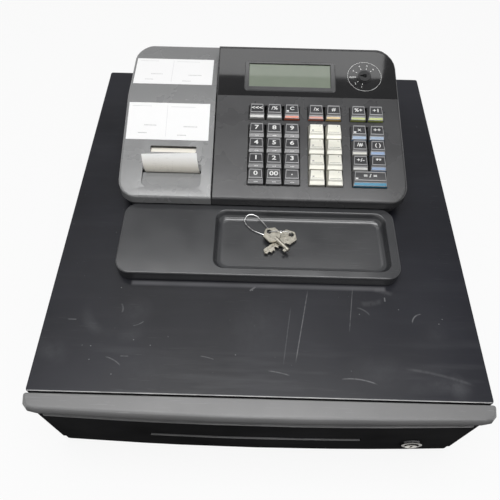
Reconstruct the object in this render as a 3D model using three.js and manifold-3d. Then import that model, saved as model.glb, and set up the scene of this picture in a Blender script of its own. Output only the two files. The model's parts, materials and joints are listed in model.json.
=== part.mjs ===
// Electronic cash register on a steel cash drawer, with a coin tray and two keys in it.
// Millimetres, +Z up, the front looks towards -Y. The origin is on the table, under the middle.
import * as THREE from 'three';
import { mergeVertices } from 'three/addons/utils/BufferGeometryUtils.js';
import Module from 'manifold-3d';

const wasm = await Module();
wasm.setup();

// Shared values
const overallDeep = 450;
const sheet = 1.2; // steel sheet
const seat = 0.3; // left between pieces that rest on, or run in, each other
const overrun = 6; // how far a cutter runs past what it cuts
const weld = 0.001; // vertices closer than this are one
const arcSteps = 3; // an arc gets twice as many sides a quarter
const shellSteps = 6; // sides a quarter on the moulded shells
const bowSteps = 10;
const roundSides = 20;
const smallSides = 12;

// Steel cabinet
const plateWide = 406;
const plateTop = 126;
const plateSetback = 20; // the trim's foremost point to the front edge of the steel top
const plateEdge = 1.6;
const plateCorner = 3;
const sideReach = 8; // the side walls run on in front of the steel top, under the trim
const openingTop = 91;
const footHigh = 4;
const footRadius = 9;
const footInset = 34;
const cordHoleRadius = 7;
const cordHoleHigh = 70;
const baseWallHigh = 34;

// Plastic nosing over the drawer
const trimReach = 2; // beyond each side of the steel top
const trimHigh = 14;
const trimBow = 3.7;
const trimGap = 1.2; // dark line between the nosing and the steel top
const trimNose = 4;
const trimRound = 6;
const trimCorner = 13;
const trimWall = 2.5;
const ribShares = [-0.25, 0, 0.25];

// Drawer
const runnerSpace = 15.5; // between the drawer box and the inside of the cabinet
const drawerFloorHigh = 8;
const drawerWallTop = 80;
const drawerBackGap = 40; // behind the drawer, for the latch
const runnerHigh = 10;
const runnerWide = 12.5;
const runnerLow = 22;
const runnerStart = 8;
const panelGap = 5; // from each side of the steel top
const panelReach = 10.8; // in front of the steel top at the ends
const panelBow = 4.2;
const panelBottom = 5;
const panelTop = 88;
const panelBack = 3.3; // in front of the steel top
const panelEdge = 1.2;
const panelCorner = 3;
const gripLeft = -104.5;
const gripRight = 101.7;
const gripMiddle = 45;
const gripHigh = 7;
const gripDeep = 5.5;
const catchWide = 24;
const catchLong = 16;
const catchHigh = 20;
const catchHoleWide = 12;
const catchHoleLong = 10;

// Drawer lock
const lockFromEnd = 44.5;
const lockZ = 33;
const collarRadius = 9.7;
const collarReach = 3;
const plugRadius = 6;
const plugReach = 1;
const slotDeep = 5; // of both keyholes
const camPocketRadius = 16;
const camPocketDeep = 4.2;
const camThick = 2.2;
const camLong = 13;
const camWide = 8;

// Drawer latch
const latchPivotFromBack = 14;
const latchPivotHigh = 14.5;
const latchPinRadius = 2;
const latchArmWide = 8;
const latchArmThick = 4;
const latchHookWide = 7;
const latchHookThick = 2.6;
const earThick = 2.5;
const earLong = 12;
const earHigh = 13;
const coilRadius = 9;
const coilLong = 24;
const coilFrameThick = 2;
const coilFrameReach = 1.5; // beyond the coil
const coilX = 34;

// Till insert
const tillWall = 2.5;
const tillTop = 76;
const tillFloor = 2.5;
const tillEase = 0.6;
const cupColumns = 4;
const cupRows = 2;
const cupLong = 84;
const cupDeep = 48;
const cupCurve = 16;
const bayCount = 4;
const bayCorner = 5;
const clippedBays = 3;
const clipPivotFromBack = 8;
const clipPivotHigh = 69;
const clipPinRadius = 2;
const clipHubRadius = 3.4;
const clipHubLong = 26;
const clipArmThick = 2;
const clipArmWide = 20;
const clipArmLong = 96;
const clipFootLong = 14;
const clipFootHigh = 16;
const lugThick = 3;
const lugLong = 12;
const lugHigh = 12;

// Register housing
const registerWide = 304;
const sideNarrow = 5; // its right side draws in this much from the front edge to the back
const registerFront = 218.4; // the front edge behind the foremost point of the part
const registerBottom = 15; // lower rim of the two upper shells over the steel top
const deckFrontHigh = 25;
const deckSlope = 16;
const deckLong = 188;
const frontCorner = 20;
const rearCorner = 24;
const rearFoot = 197; // the rear wall's foot, behind the register's front edge
const shellWall = 2.5;
const shellLip = 7.5;
const shellEdge = 2.6;
const seamX = -53.5;
const seamHalf = 0.45;
const seamEdge = 0.9;
const coverBreak = 122; // along the deck, where the printer cover levels out
const coverRearSlope = 2;
const coverRearLong = 86;
const baseInset = 5;
const baseFeetHigh = 3;
const baseWall = 2.5;
const registerFootRadius = 8;
const registerFootInset = 26;
const rearWindowWide = 84;
const rearWindowHigh = 26;
const rearWindowDeep = 1;
const rearWindowX = 60;
const rearWindowRise = 26;
const cordInletRadius = 4;
const cordInletRing = 1.5;
const cordInletReach = 2;
const cordInletX = -20;

// Keyboard
const keyPitchX = 19;
const keyWide = 16.8;
const keyGap = 1.1; // between the keys of a column
const keyboardFront = 16.5; // from the deck's front edge
const keyboardBack = 12.8; // from the display panel
const topRowSpace = 5.8; // more than between the other rows
const rowCount = 5;
const keyHigh = 6.2;
const keyStepHigh = 4.3;
const keyFrontHigh = 3.3;
const keyStripLong = 4.2;
const keyRiserLong = 1.3;
const keyBackLean = 1.2;
const keySideLean = 0.9;
const keyBackNarrow = 1.1; // a cap's top narrows this much on each side towards its back
const keySkirt = 4;
const keyEase = 0.7;
const keyOpeningCorner = 1.5;
const numberX = 10.9;
const pluX = 65.6;
const functionX = 111.5;
const stemRadius = 2.6;
const stemDeep = 12.4;
const stemSides = 8;
const frameDeep = 9.2;
const frameThick = 2;
const frameMargin = 9;
const postRadius = 3;
const postInset = 4.5;

// Display panel and mode switch
const displayDeep = 63.5; // the panel's part of the deck, at its back
const panelInset = 1;
const panelThick = 1.4;
const glassX0 = -17.9;
const glassX1 = 73.3;
const glassDeep = 30;
const glassFromBack = 21.5; // of the deck
const glassThick = 0.8;
const bezelX0 = -22.9;
const bezelX1 = 79.1;
const bezelInFront = 5.5; // in front of the glass
const bezelBehind = 3.5;
const bezelHigh = 1;
const bezelCorner = 4;
const switchX = 111.7;
const switchFromBack = 34.9;
const switchRadius = 7;
const switchReach = 1.6;
const switchDeep = 11;
const switchRingWide = 1.6;
const switchRingHigh = 0.8;

// Printer cover
const padX0 = -128;
const padX1 = -65.6;
const padS0 = 40.5;
const padS1 = 65;
const padHigh = 0.9;
const padCorner = 5;
const windowX0 = -121;
const windowX1 = -72;
const windowS0 = 51.5;
const windowS1 = 59;
const windowCorner = 1.5;
const scoopX0 = -127.5;
const scoopX1 = -65.5;
const scoopS0 = 11.8;
const scoopS1 = 39;
const scoopSlotS0 = 29.2;
const scoopSlotS1 = 32.6;
const scoopDeep = 3.2;
const scoopCorner = 5;
const scoopFloor = 2.2;

// Printer, platen and paper
const paperWide = 57.5;
const paperThick = 0.35;
const paperX = -96.6;
const rollRadius = 24;
const rollCore = 6;
const rollBack = 156; // the roll's axis behind the register's front edge
const rollClear = 1.5;
const cradleHigh = 18;
const cheekThick = 2;
const cheekRadius = 15;
const printerFront = 34; // behind the register's front edge
const printerDeep = 42;
const printerHigh = 20;
const printerWall = 2;
const printerHalf = 34;
const headHigh = 11;
const headDeep = 9;
const platenRadius = 5.5;
const platenBack = 45;
const platenHigh = 14.5;
const platenPin = 2.5;
const motorRadius = 7.5;
const motorLong = 30;
const paperRunDeep = 7; // below the deck, under the scoop
const paperWindowDeep = 3.4; // below the deck, under the window
const paperSteps = 24;
const paperStand = 16.2; // how far the strip stands out of the deck
const paperStandShares = [
  [0.21, -0.395], [0.075, -0.26], [0.055, 0], [0.21, 0.395], [0.505, 0.74], [0.86, 1],
];
const paperLean = 2.2; // its top leans this far to the left
const paperFootShift = 0.7; // its foot lies this far right of the roll's middle
const paperCutShare = 0.97; // its left edge against its right edge, as it was torn off askew

// Coin tray
const trayX0 = -143.5;
const trayX1 = 136.8;
const trayTuck = 1.4; // the tray's back edge lies this far under the register
const trayDeep = 86;
const trayHigh = 13;
const trayCorner = 14.5;
const trayEdge = 1.4;
const trayWall = 2;
const recessX0 = -48;
const recessX1 = 128;
const recessMarginFront = 7.8;
const recessMarginBack = 7;
const recessCorner = 11;
const recessFloor = 4;
const recessSlope = 8;
const recessFillet = 6.5;

// Keys in the tray and their wire
const ringWire = 0.45;
const ringSteps = 60;
const ringSides = 6;
const ringLong = 26; // how far the wire's loop reaches from the mode key
const ringRise = 4.2; // its highest point, up the recess's rear wall
// Across, up the tray and rise of the wire's loop, from the mode key's hole
const ringShares = [
  [0.346, 0.192, 0], [0.038, 0.269, 0.067], [-0.269, 0.625, 0.267], [-0.577, 0.86, 0.9],
  [-0.865, 0.84, 1], [-0.981, 0.615, 0.433], [-0.731, 0.275, 0.167], [-0.346, 0.062, 0.067],
  [-0.069, -0.015, 0],
];
const keyThick = 2;
const bowRadius = 9.5;
const bowHole = 2.6;
const bowHoleOff = 4.6;
const bladeWide = 8.4;
const bladeLong = 21;
const bladeGroove = 0.5;
const bitDeepShares = [0.2, 0.42, 0.14, 0.34];
const neckLong = 4;
const barrelRadius = 2.1;
const barrelLong = 16;
const barrelBore = 1.1;
const barrelBit = 2.6;
const drawerKeyIn = 75; // from the recess's front left corner
const drawerKeyUp = 42.4;
const drawerKeyTurn = 221;
const modeKeyIn = 58.5;
const modeKeyUp = 42.4;
const modeKeyTurn = -48;

// Worked-out places
const rad = Math.PI / 180;
const backY = overallDeep / 2;
const plateFront = -backY + plateSetback;
const sideFront = plateFront - sideReach;
const halfPlate = plateWide / 2;
const trimWide = plateWide + 2 * trimReach;
const shelfTop = plateTop - trimHigh - seat;
const deckFront = -backY + registerFront;
const deckFrontZ = plateTop + deckFrontHigh;
const shellBottom = plateTop + registerBottom;
const deckCos = Math.cos(deckSlope * rad);
const deckSin = Math.sin(deckSlope * rad);
const deckBack = deckFront + deckLong * deckCos;
const rearFootY = deckFront + rearFoot;
const panelStartS = deckLong - displayDeep;
const glassS1 = deckLong - glassFromBack;
const glassS0 = glassS1 - glassDeep;
const bezelS0 = glassS0 - bezelInFront;
const bezelS1 = glassS1 + bezelBehind;
const switchS = deckLong - switchFromBack;
const keyboardDeep = panelStartS - keyboardBack - keyboardFront;
const keyPitchS = (keyboardDeep - topRowSpace + keyGap) / rowCount;
const keyLong = keyPitchS - keyGap;
const lowestRowS = keyboardFront + keyLong / 2;
const topRowS = lowestRowS + (rowCount - 1) * keyPitchS + topRowSpace;
const breakY = deckFront + coverBreak * deckCos;
const breakZ = deckFrontZ + coverBreak * deckSin;

// Makes a closed mesh into a solid
function solid(geometry, matrix) {
  const bare = geometry.clone();
  bare.deleteAttribute('normal');
  bare.deleteAttribute('uv');
  const merged = mergeVertices(bare, weld);
  if (matrix) merged.applyMatrix4(matrix);
  const vertProperties = new Float32Array(merged.attributes.position.array);
  const triVerts = new Uint32Array(merged.index.array);
  return new wasm.Manifold(new wasm.Mesh({ numProp: 3, vertProperties, triVerts }));
}

function join(...solids) {
  return solids.reduce((sum, next) => sum.add(next));
}

function cut(body, ...tools) {
  return tools.reduce((rest, tool) => rest.subtract(tool), body);
}

// The axis change for extrusions along X, with the shape in Y and Z
const alongX = new THREE.Matrix4().makeBasis(
  new THREE.Vector3(0, 1, 0), new THREE.Vector3(0, 0, 1), new THREE.Vector3(1, 0, 0));

// From deck coordinates (across, up the slope, out of the slope) to the part's frame
const onDeck = new THREE.Matrix4().makeTranslation(0, deckFront, deckFrontZ)
  .multiply(new THREE.Matrix4().makeRotationX(deckSlope * rad));

function slab(x0, x1, y0, y1, z0, z1, matrix) {
  const ring = (z) => [[x0, y0], [x1, y0], [x1, y1], [x0, y1]].map(([x, y]) => new THREE.Vector3(x, y, z));
  return solid(loft([ring(z0), ring(z1)]), matrix);
}

function extrude(shape, depth, curveSegments = arcSteps) {
  return new THREE.ExtrudeGeometry(shape, { depth, bevelEnabled: false, curveSegments });
}

function prismUp(shape, z0, z1, matrix) {
  return solid(extrude(shape, z1 - z0).translate(0, 0, z0), matrix);
}

function prismX(points, x0, x1, matrix) {
  const shape = new THREE.Shape(points.map(([y, z]) => new THREE.Vector2(y, z)));
  const geometry = extrude(shape, x1 - x0).translate(0, 0, x0).applyMatrix4(alongX);
  return solid(geometry, matrix);
}

// A block whose top edge, and bottom edge if asked, is rounded over
function pillow(shape, z0, z1, edge, roundBottom, edgeHigh = edge, steps = 2) {
  const low = roundBottom ? z0 + edgeHigh : z0;
  const geometry = new THREE.ExtrudeGeometry(shape, {
    depth: z1 - edgeHigh - low,
    bevelSize: edge,
    bevelOffset: -edge,
    bevelThickness: edgeHigh,
    bevelSegments: steps,
    curveSegments: arcSteps,
  });
  const body = solid(geometry.translate(0, 0, low));
  if (roundBottom) return body;
  const reach = 2 * overallDeep;
  return cut(body, slab(-reach, reach, -reach, reach, z0 - edgeHigh - overrun, z0));
}

// axis is 'x', 'y' or 'z'; from and to are the two ends along it
function rod(radius, axis, from, to, a, b, sides = roundSides, matrix) {
  const geometry = new THREE.CylinderGeometry(radius, radius, to - from, sides);
  if (axis === 'x') geometry.rotateZ(Math.PI / 2).translate((from + to) / 2, a, b);
  if (axis === 'y') geometry.translate(a, (from + to) / 2, b);
  if (axis === 'z') geometry.rotateX(Math.PI / 2).translate(a, b, (from + to) / 2);
  return solid(geometry, matrix);
}

// Corner radii run front left, front right, back right, back left
function roundedRect(x0, x1, y0, y1, radii) {
  const [fl, fr, br, bl] = Array.isArray(radii) ? radii : [radii, radii, radii, radii];
  const shape = new THREE.Shape();
  shape.moveTo(x0 + fl, y0).lineTo(x1 - fr, y0);
  if (fr) shape.absarc(x1 - fr, y0 + fr, fr, -Math.PI / 2, 0);
  shape.lineTo(x1, y1 - br);
  if (br) shape.absarc(x1 - br, y1 - br, br, 0, Math.PI / 2);
  shape.lineTo(x0 + bl, y1);
  if (bl) shape.absarc(x0 + bl, y1 - bl, bl, Math.PI / 2, Math.PI);
  shape.lineTo(x0, y0 + fl);
  if (fl) shape.absarc(x0 + fl, y0 + fl, fl, Math.PI, 1.5 * Math.PI);
  return shape;
}

// A shape's outline at one height, without points that fall together
function outlineRing(shape, z) {
  const points = shape.getPoints(arcSteps);
  return points.filter((point, i) => point.distanceTo(points.at(i - 1)) > weld)
    .map(({ x, y }) => new THREE.Vector3(x, y, z));
}

// A rounded rectangle with a bowed front, as the nosing and the drawer panel have
function bowedRect(halfWide, front, back, bow, corner) {
  const shape = new THREE.Shape();
  shape.moveTo(-halfWide, back);
  shape.lineTo(-halfWide, front + corner);
  shape.quadraticCurveTo(-halfWide, front, -halfWide + corner, front);
  for (let i = 1; i <= bowSteps; i += 1) {
    const share = (2 * i) / bowSteps - 1;
    shape.lineTo(share * (halfWide - corner), front - bow * (1 - share ** 2));
  }
  shape.quadraticCurveTo(halfWide, front, halfWide, front + corner);
  shape.lineTo(halfWide, back);
  return shape;
}

// Joins rings of equal count into a closed skin, with flat ends
function loft(rings) {
  const count = rings[0].length;
  const last = (rings.length - 1) * count;
  const index = [];
  for (let ring = 0; ring < rings.length - 1; ring += 1) {
    for (let i = 0; i < count; i += 1) {
      const a = ring * count + i;
      const b = ring * count + (i + 1) % count;
      index.push(a, b, a + count, b, b + count, a + count);
    }
  }
  for (let i = 1; i < count - 1; i += 1) {
    index.push(0, i + 1, i, last, last + i, last + i + 1);
  }
  const points = rings.flat();
  let volume = 0;
  for (let i = 0; i < index.length; i += 3) {
    const [a, b, c] = [points[index[i]], points[index[i + 1]], points[index[i + 2]]];
    volume += a.dot(new THREE.Vector3().crossVectors(b, c));
  }
  if (volume < 0) index.reverse();
  const geometry = new THREE.BufferGeometry().setFromPoints(points);
  geometry.setIndex(index);
  return geometry;
}

function quarterSteps(radius, steps) {
  return Array.from({ length: steps + 1 }, (_, i) => radius * (1 - Math.cos((i / steps) * 90 * rad)));
}

function arcDrop(distance, radius) {
  return distance < radius ? radius - Math.sqrt(Math.max(0, radius ** 2 - (radius - distance) ** 2)) : 0;
}

// A moulded shell's outer body, or its hollow when inset is more than zero. Its outline has
// upright walls with rounded corners, its top follows topAt, and its rear wall leans back.
function housing({ left, right, back, corners, edges, breaks, topAt, narrowAt, inset, bottom }) {
  const front = deckFront + inset;
  const rear = back - inset;
  const [x0, x1] = [left + inset, right - inset];
  const radii = corners.map((radius) => Math.max(radius - inset, 0));
  const rounds = edges.map((edge) => (inset > 0 ? seamEdge : edge));
  const edge = Math.max(...rounds);
  const steps = inset > 0 ? arcSteps : shellSteps;
  const stations = [
    ...quarterSteps(Math.max(radii[0], radii[1]), steps).map((step) => front + step),
    ...quarterSteps(edge, arcSteps).map((step) => front + step),
    ...quarterSteps(Math.max(radii[2], radii[3]), steps).map((step) => rear - step),
    ...quarterSteps(edge, arcSteps).map((step) => rear - step),
    ...breaks,
  ].sort((a, b) => a - b).filter((y, i, all) => i === 0 || y - all[i - 1] > seamEdge / 4);
  const middle = (front + rear) / 2;
  const slabDrop = inset / deckCos;
  const lean = (rearFootY - back) / (topAt(back) - shellBottom);
  const rings = stations.map((y) => {
    const [fromFront, fromRear] = [y - front, rear - y];
    const low = x0 + arcDrop(fromFront, radii[0]) + arcDrop(fromRear, radii[3]);
    const high = x1 - narrowAt(y) - arcDrop(fromFront, radii[1]) - arcDrop(fromRear, radii[2]);
    const top = topAt(y) - slabDrop - arcDrop(fromFront, edge) - arcDrop(fromRear, edge);
    const turns = (inset > 0 ? [0, 90] : [0, 30, 60, 90]).map((turn) => turn * rad);
    const profile = [
      [low, bottom],
      ...turns.map((t) => [low + rounds[0] * (1 - Math.cos(t)), top - rounds[0] * (1 - Math.sin(t))]),
      ...turns.map((t) => [high - rounds[1] * (1 - Math.cos(t)), top - rounds[1] * (1 - Math.sin(t))])
        .reverse(),
      [high, bottom],
    ];
    const share = Math.max(0, (y - middle) / (rear - middle));
    return profile.map(([x, z]) => new THREE.Vector3(x, y + lean * share * (top - z), z));
  });
  return solid(loft(rings));
}

function shell(sizes) {
  const hollow = housing({ ...sizes, inset: shellWall, bottom: shellBottom + shellWall });
  const mouth = housing({ ...sizes, inset: shellLip, bottom: shellBottom - overrun });
  return cut(housing({ ...sizes, inset: 0, bottom: shellBottom }), hollow, mouth);
}

const group = new THREE.Group();
const deckGroup = new THREE.Group();
deckGroup.position.set(0, deckFront, deckFrontZ);
deckGroup.rotation.x = deckSlope * rad;
group.add(deckGroup);

function material(color, roughness, metalness = 0) {
  return new THREE.MeshStandardMaterial({ color, roughness, metalness });
}

const finish = {
  blackSteel: () => material(0x23262b, 0.42, 0.3),
  nosing: () => material(0x6f7073, 0.45),
  drawerBlack: () => material(0x17171a, 0.4),
  zinc: () => material(0x9a9c9e, 0.4, 0.8),
  tillPlastic: () => material(0x2b2c2e, 0.6),
  caseGrey: () => material(0x4a4b4e, 0.55),
  coverGrey: () => material(0x9b9ea1, 0.5),
  baseBlack: () => material(0x1b1c1e, 0.6),
  glossBlack: () => material(0x0d0e10, 0.08),
  glass: () => material(0x7f8a7a, 0.15),
  clearKey: () => material(0x55565a, 0.2),
  creamKey: () => material(0xe9e6d6, 0.35),
  nickel: () => material(0xb9b4aa, 0.28, 0.9),
  rubber: () => material(0x222222, 0.9),
  paper: () => material(0xf4f2ec, 0.8),
  trayGrey: () => material(0x3b3c40, 0.5),
  board: () => material(0x36443a, 0.7),
};

function node(name, body, finishOf, parent = group) {
  const mesh = body.getMesh();
  const geometry = new THREE.BufferGeometry();
  geometry.setAttribute('position', new THREE.BufferAttribute(new Float32Array(mesh.vertProperties), 3));
  geometry.setIndex(new THREE.BufferAttribute(new Uint32Array(mesh.triVerts), 1));
  geometry.computeVertexNormals();
  const piece = new THREE.Mesh(geometry, finishOf());
  piece.name = name;
  parent.add(piece);
  return piece;
}

// Folded steel cover: top, sides, back and the shelf that carries the nosing
function cabinetCover() {
  const inner = halfPlate - sheet;
  const top = roundedRect(-halfPlate, halfPlate, plateFront, backY, plateCorner);
  const upper = pillow(top, footHigh, plateTop, plateEdge, false);
  const reach = slab(-halfPlate, halfPlate, sideFront, plateFront + plateCorner, footHigh, shelfTop);
  const upperHollow = slab(-inner, inner, plateFront + sheet, backY - sheet, -overrun, plateTop - sheet);
  const lowerHollow = slab(-inner, inner, sideFront + sheet, backY - sheet, -overrun, shelfTop - sheet);
  const lipInner = runnerOuter + seat;
  const mouth = slab(-lipInner, lipInner, sideFront - overrun, plateFront, -overrun, openingTop);
  const cordHole = rod(cordHoleRadius, 'y', backY - sheet - overrun, backY + overrun, 0, cordHoleHigh);
  return cut(join(upper, reach), upperHollow, lowerHollow, mouth, cordHole);
}

// Bottom pan with its feet, the outer drawer runners and the latch bracket with its coil
const panOuter = halfPlate - sheet - seat;
const panFront = plateFront - panelBack + seat;
const panBack = backY - sheet - seat;
const panFloorTop = footHigh + sheet;
const panRoot = footHigh + sheet / 2;
const drawerBack = backY - drawerBackGap;
const latchPivotY = backY - sheet - latchPivotFromBack;
const latchPivotZ = latchPivotHigh;
const drawerHalf = panOuter - runnerSpace;
const runnerOuter = panOuter - sheet - seat;

function runnerRail(side) {
  const web = side * (panOuter - sheet / 2);
  const lip = side * (panOuter - sheet - runnerWide);
  const [x0, x1] = [Math.min(web, lip), Math.max(web, lip)];
  const [low, high] = [runnerLow - seat, runnerLow + runnerHigh + seat];
  const [from, to] = [panFront + runnerStart, drawerBack];
  return [
    slab(x0, x1, from, to, low - sheet, low),
    slab(x0, x1, from, to, high, high + sheet),
  ];
}

function latchBracket() {
  const earInner = latchArmWide / 2 + seat;
  const ears = [-1, 1].map((side) => {
    const x = [side * earInner, side * (earInner + earThick)].sort((a, b) => a - b);
    const [front, back] = [latchPivotY - earLong / 2, latchPivotY + earLong / 2];
    return slab(x[0], x[1], front, back, panRoot, panFloorTop + earHigh);
  });
  const hole = latchPinRadius + seat;
  const reach = earInner + earThick + overrun;
  return cut(join(...ears), rod(hole, 'x', -reach, reach, latchPivotY, latchPivotZ, smallSides));
}

function releaseCoil() {
  const [x0, x1] = [coilX - coilLong / 2, coilX + coilLong / 2];
  const y = latchPivotY - coilRadius / 2;
  const [half, reach] = [coilFrameThick / 2, coilRadius + coilFrameReach];
  const top = panFloorTop + 2 * coilRadius + coilFrameReach;
  const ends = [x0, x1].map((x) => slab(x - half, x + half, y - reach, y + reach, panRoot, top));
  return join(rod(coilRadius, 'x', x0, x1, y, panFloorTop + coilRadius - seat), ...ends);
}

function cabinetBase() {
  const wallTop = footHigh + baseWallHigh;
  const floor = slab(-panOuter, panOuter, panFront, panBack, footHigh, panFloorTop);
  const sides = [-1, 1].map((side) => {
    const x = [side * panOuter, side * (panOuter - sheet)].sort((a, b) => a - b);
    return slab(x[0], x[1], panFront + runnerStart, panBack, footHigh, wallTop);
  });
  const rear = slab(-panOuter, panOuter, panBack - sheet, panBack, footHigh, wallTop);
  const feet = [-1, 1].flatMap((x) => [-1, 1].map((y) => rod(
    footRadius, 'z', 0, panRoot, x * (panOuter - footInset), y * (backY - footInset))));
  const rails = [...runnerRail(-1), ...runnerRail(1)];
  return join(floor, ...sides, rear, ...rails, ...feet, latchBracket(), releaseCoil());
}

// Plastic nosing, open at the back, on the shelf in front of the steel top
function frontTrim() {
  const half = trimWide / 2;
  const front = plateFront - plateSetback + trimBow;
  const back = plateFront - trimGap;
  const shape = bowedRect(half, front, back + overrun, trimBow, trimCorner);
  const bottom = shelfTop + seat;
  const outer = pillow(shape, bottom, plateTop, trimNose, true, trimRound, 3);
  const hollowFront = front + trimNose + trimWall;
  const hollowHalf = half - trimCorner;
  const [low, high] = [bottom + trimWall, plateTop - trimWall];
  const hollow = slab(-hollowHalf, hollowHalf, hollowFront, back + overrun, low, high);
  const behind = slab(-trimWide, trimWide, back, back + 2 * overrun + trimCorner, 0, plateTop + overrun);
  const ribs = ribShares.map((share) => {
    const x = share * trimWide;
    const [y0, half] = [hollowFront - trimWall / 2, trimWall / 2];
    return slab(x - half, x + half, y0, back, low - half, high + half);
  });
  return join(cut(outer, hollow, behind), ...ribs);
}

// Drawer box with its inner runners and the catch that the latch holds
const boxFront = plateFront - panelBack + seat;
function innerRunner(side) {
  const [inner, outer] = [side * drawerHalf, side * runnerOuter];
  const grooveInner = side * (drawerHalf + sheet);
  const bar = [inner - (side * sheet) / 2, outer].sort((a, b) => a - b);
  const groove = [grooveInner, outer + side * overrun].sort((a, b) => a - b);
  const from = panFront + runnerStart;
  const [low, high] = [runnerLow, runnerLow + runnerHigh];
  const grooves = slab(groove[0], groove[1], from - overrun, drawerBack + overrun, low + sheet, high - sheet);
  return cut(slab(bar[0], bar[1], from, drawerBack, low, high), grooves);
}

function drawerBody() {
  const inner = drawerHalf - sheet;
  const outside = slab(-drawerHalf, drawerHalf, boxFront, drawerBack, drawerFloorHigh, drawerWallTop);
  const [from, to] = [boxFront + sheet, drawerBack - sheet];
  const inside = slab(-inner, inner, from, to, drawerFloorHigh + sheet, drawerWallTop + overrun);
  const catchTop = catchHigh + sheet;
  const catchEnd = drawerBack + catchLong;
  const halfCatch = catchWide / 2;
  const tab = slab(-halfCatch, halfCatch, drawerBack - sheet / 2, catchEnd, catchHigh, catchTop);
  const halfHole = catchHoleWide / 2;
  const holeFrom = drawerBack + (catchLong - catchHoleLong) / 2;
  const hole = slab(
    -halfHole, halfHole, holeFrom, holeFrom + catchHoleLong, catchHigh - overrun, catchTop + overrun);
  const box = join(cut(outside, inside), tab, innerRunner(-1), innerRunner(1));
  return cut(box, hole);
}

// Where the bowed drawer panel's face is at a place across it
const panelHalf = halfPlate - panelGap;
const lockX = panelHalf - lockFromEnd;
const panelEndY = plateFront - panelReach;
function panelFaceAt(x) {
  return panelEndY - panelBow * (1 - (x / (panelHalf - panelCorner)) ** 2);
}

function drawerFront() {
  const back = plateFront - panelBack;
  const shape = bowedRect(panelHalf, panelEndY, back, panelBow, panelCorner);
  const block = pillow(shape, panelBottom, panelTop, panelEdge, true);
  const face = panelFaceAt(lockX);
  const collar = rod(collarRadius, 'y', face - collarReach, back - panelEdge, lockX, lockZ);
  const squared = join(block, collar);
  const [low, high] = [gripMiddle - gripHigh / 2, gripMiddle + gripHigh / 2];
  const foremost = panelEndY - panelBow;
  const grip = slab(gripLeft, gripRight, foremost - overrun, foremost + gripDeep, low, high);
  const bore = rod(plugRadius + seat, 'y', face - collarReach - overrun, back + overrun, lockX, lockZ);
  const pocket = rod(camPocketRadius, 'y', back - camPocketDeep, back + overrun, lockX, lockZ);
  return cut(squared, grip, bore, pocket);
}

function drawerLock() {
  const back = plateFront - panelBack;
  const face = panelFaceAt(lockX) - collarReach - plugReach;
  const camFront = back - camPocketDeep + seat;
  const plug = rod(plugRadius, 'y', face, camFront + camThick, lockX, lockZ);
  const half = camWide / 2;
  const cam = slab(lockX - half, lockX + half, camFront, camFront + camThick, lockZ, lockZ + camLong);
  const [halfSlot, halfLong] = [(keyThick + seat) / 2, (bladeWide + seat) / 2];
  const slotTo = face + slotDeep;
  const slot = slab(
    lockX - halfSlot, lockX + halfSlot, face - overrun, slotTo, lockZ - halfLong, lockZ + halfLong);
  return cut(join(plug, cam), slot);
}

// Latch lever: it lies down here, and its hook swings up into the drawer's catch
const hookY = drawerBack + catchLong / 2 + latchHookThick / 2;
function drawerLatch() {
  const pinHalf = latchArmWide / 2 + seat + earThick;
  const pin = rod(latchPinRadius, 'x', -pinHalf, pinHalf, latchPivotY, latchPivotZ, smallSides);
  const [armLow, armHigh] = [latchPivotZ - latchArmThick / 2, latchPivotZ + latchArmThick / 2];
  const half = latchArmWide / 2;
  const [armFront, armBack] = [hookY - latchHookThick / 2, latchPivotY + latchArmThick];
  const arm = slab(-half, half, armFront, armBack, armLow - latchArmThick / 4, armHigh);
  const hookHalf = latchHookWide / 2;
  const hook = slab(
    -hookHalf, hookHalf, hookY - latchHookThick / 2, hookY + latchHookThick / 2,
    latchPivotZ, catchHigh - seat);
  return join(pin, arm, hook);
}

// Till insert: two rows of coin cups in front of the note bays
const tillOut = drawerHalf - sheet - tillEase;
const tillFront = boxFront + sheet + tillEase;
const tillBack = drawerBack - sheet - tillEase;
const tillBottom = drawerFloorHigh + sheet + seat;
const bayStep = (2 * tillOut - tillWall) / bayCount;
const bayFront = tillFront + tillWall + cupRows * (cupLong + tillWall);
const bayBack = tillBack - tillWall;

function coinCup(column, row) {
  const step = (2 * tillOut - tillWall) / cupColumns;
  const x0 = -tillOut + tillWall + column * step;
  const y0 = tillFront + tillWall + row * (cupLong + tillWall);
  const [y1, low] = [y0 + cupLong, tillTop - cupDeep];
  const shape = new THREE.Shape();
  shape.moveTo(y0, tillTop + overrun).lineTo(y0, low + cupCurve);
  shape.absarc(y0 + cupCurve, low + cupCurve, cupCurve, Math.PI, 1.5 * Math.PI);
  shape.lineTo(y1 - cupCurve, low);
  shape.absarc(y1 - cupCurve, low + cupCurve, cupCurve, -Math.PI / 2, 0);
  shape.lineTo(y1, tillTop + overrun);
  const wide = step - tillWall;
  return solid(extrude(shape, wide).translate(0, 0, x0).applyMatrix4(alongX));
}

function noteBay(column) {
  const x0 = -tillOut + tillWall + column * bayStep;
  const outline = roundedRect(x0, x0 + bayStep - tillWall, bayFront, bayBack, bayCorner);
  return prismUp(outline, tillBottom + tillFloor, tillTop + overrun);
}

const bayMiddle = (column) => -tillOut + tillWall / 2 + (column + 0.5) * bayStep;
const clipY = bayBack - clipPivotFromBack;
const clipZ = clipPivotHigh;

function clipLugs(column) {
  const x = bayMiddle(column);
  const inner = clipHubLong / 2 + seat;
  const lugs = [-1, 1].map((side) => {
    const ends = [x + side * inner, x + side * (inner + lugThick)].sort((a, b) => a - b);
    return slab(ends[0], ends[1], clipY - lugLong / 2, bayBack + tillWall / 2, tillTop - lugHigh, tillTop);
  });
  const reach = inner + lugThick + seat;
  const hole = rod(clipPinRadius + seat, 'x', x - reach, x + reach, clipY, clipZ, smallSides);
  return cut(join(...lugs), hole);
}

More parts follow.
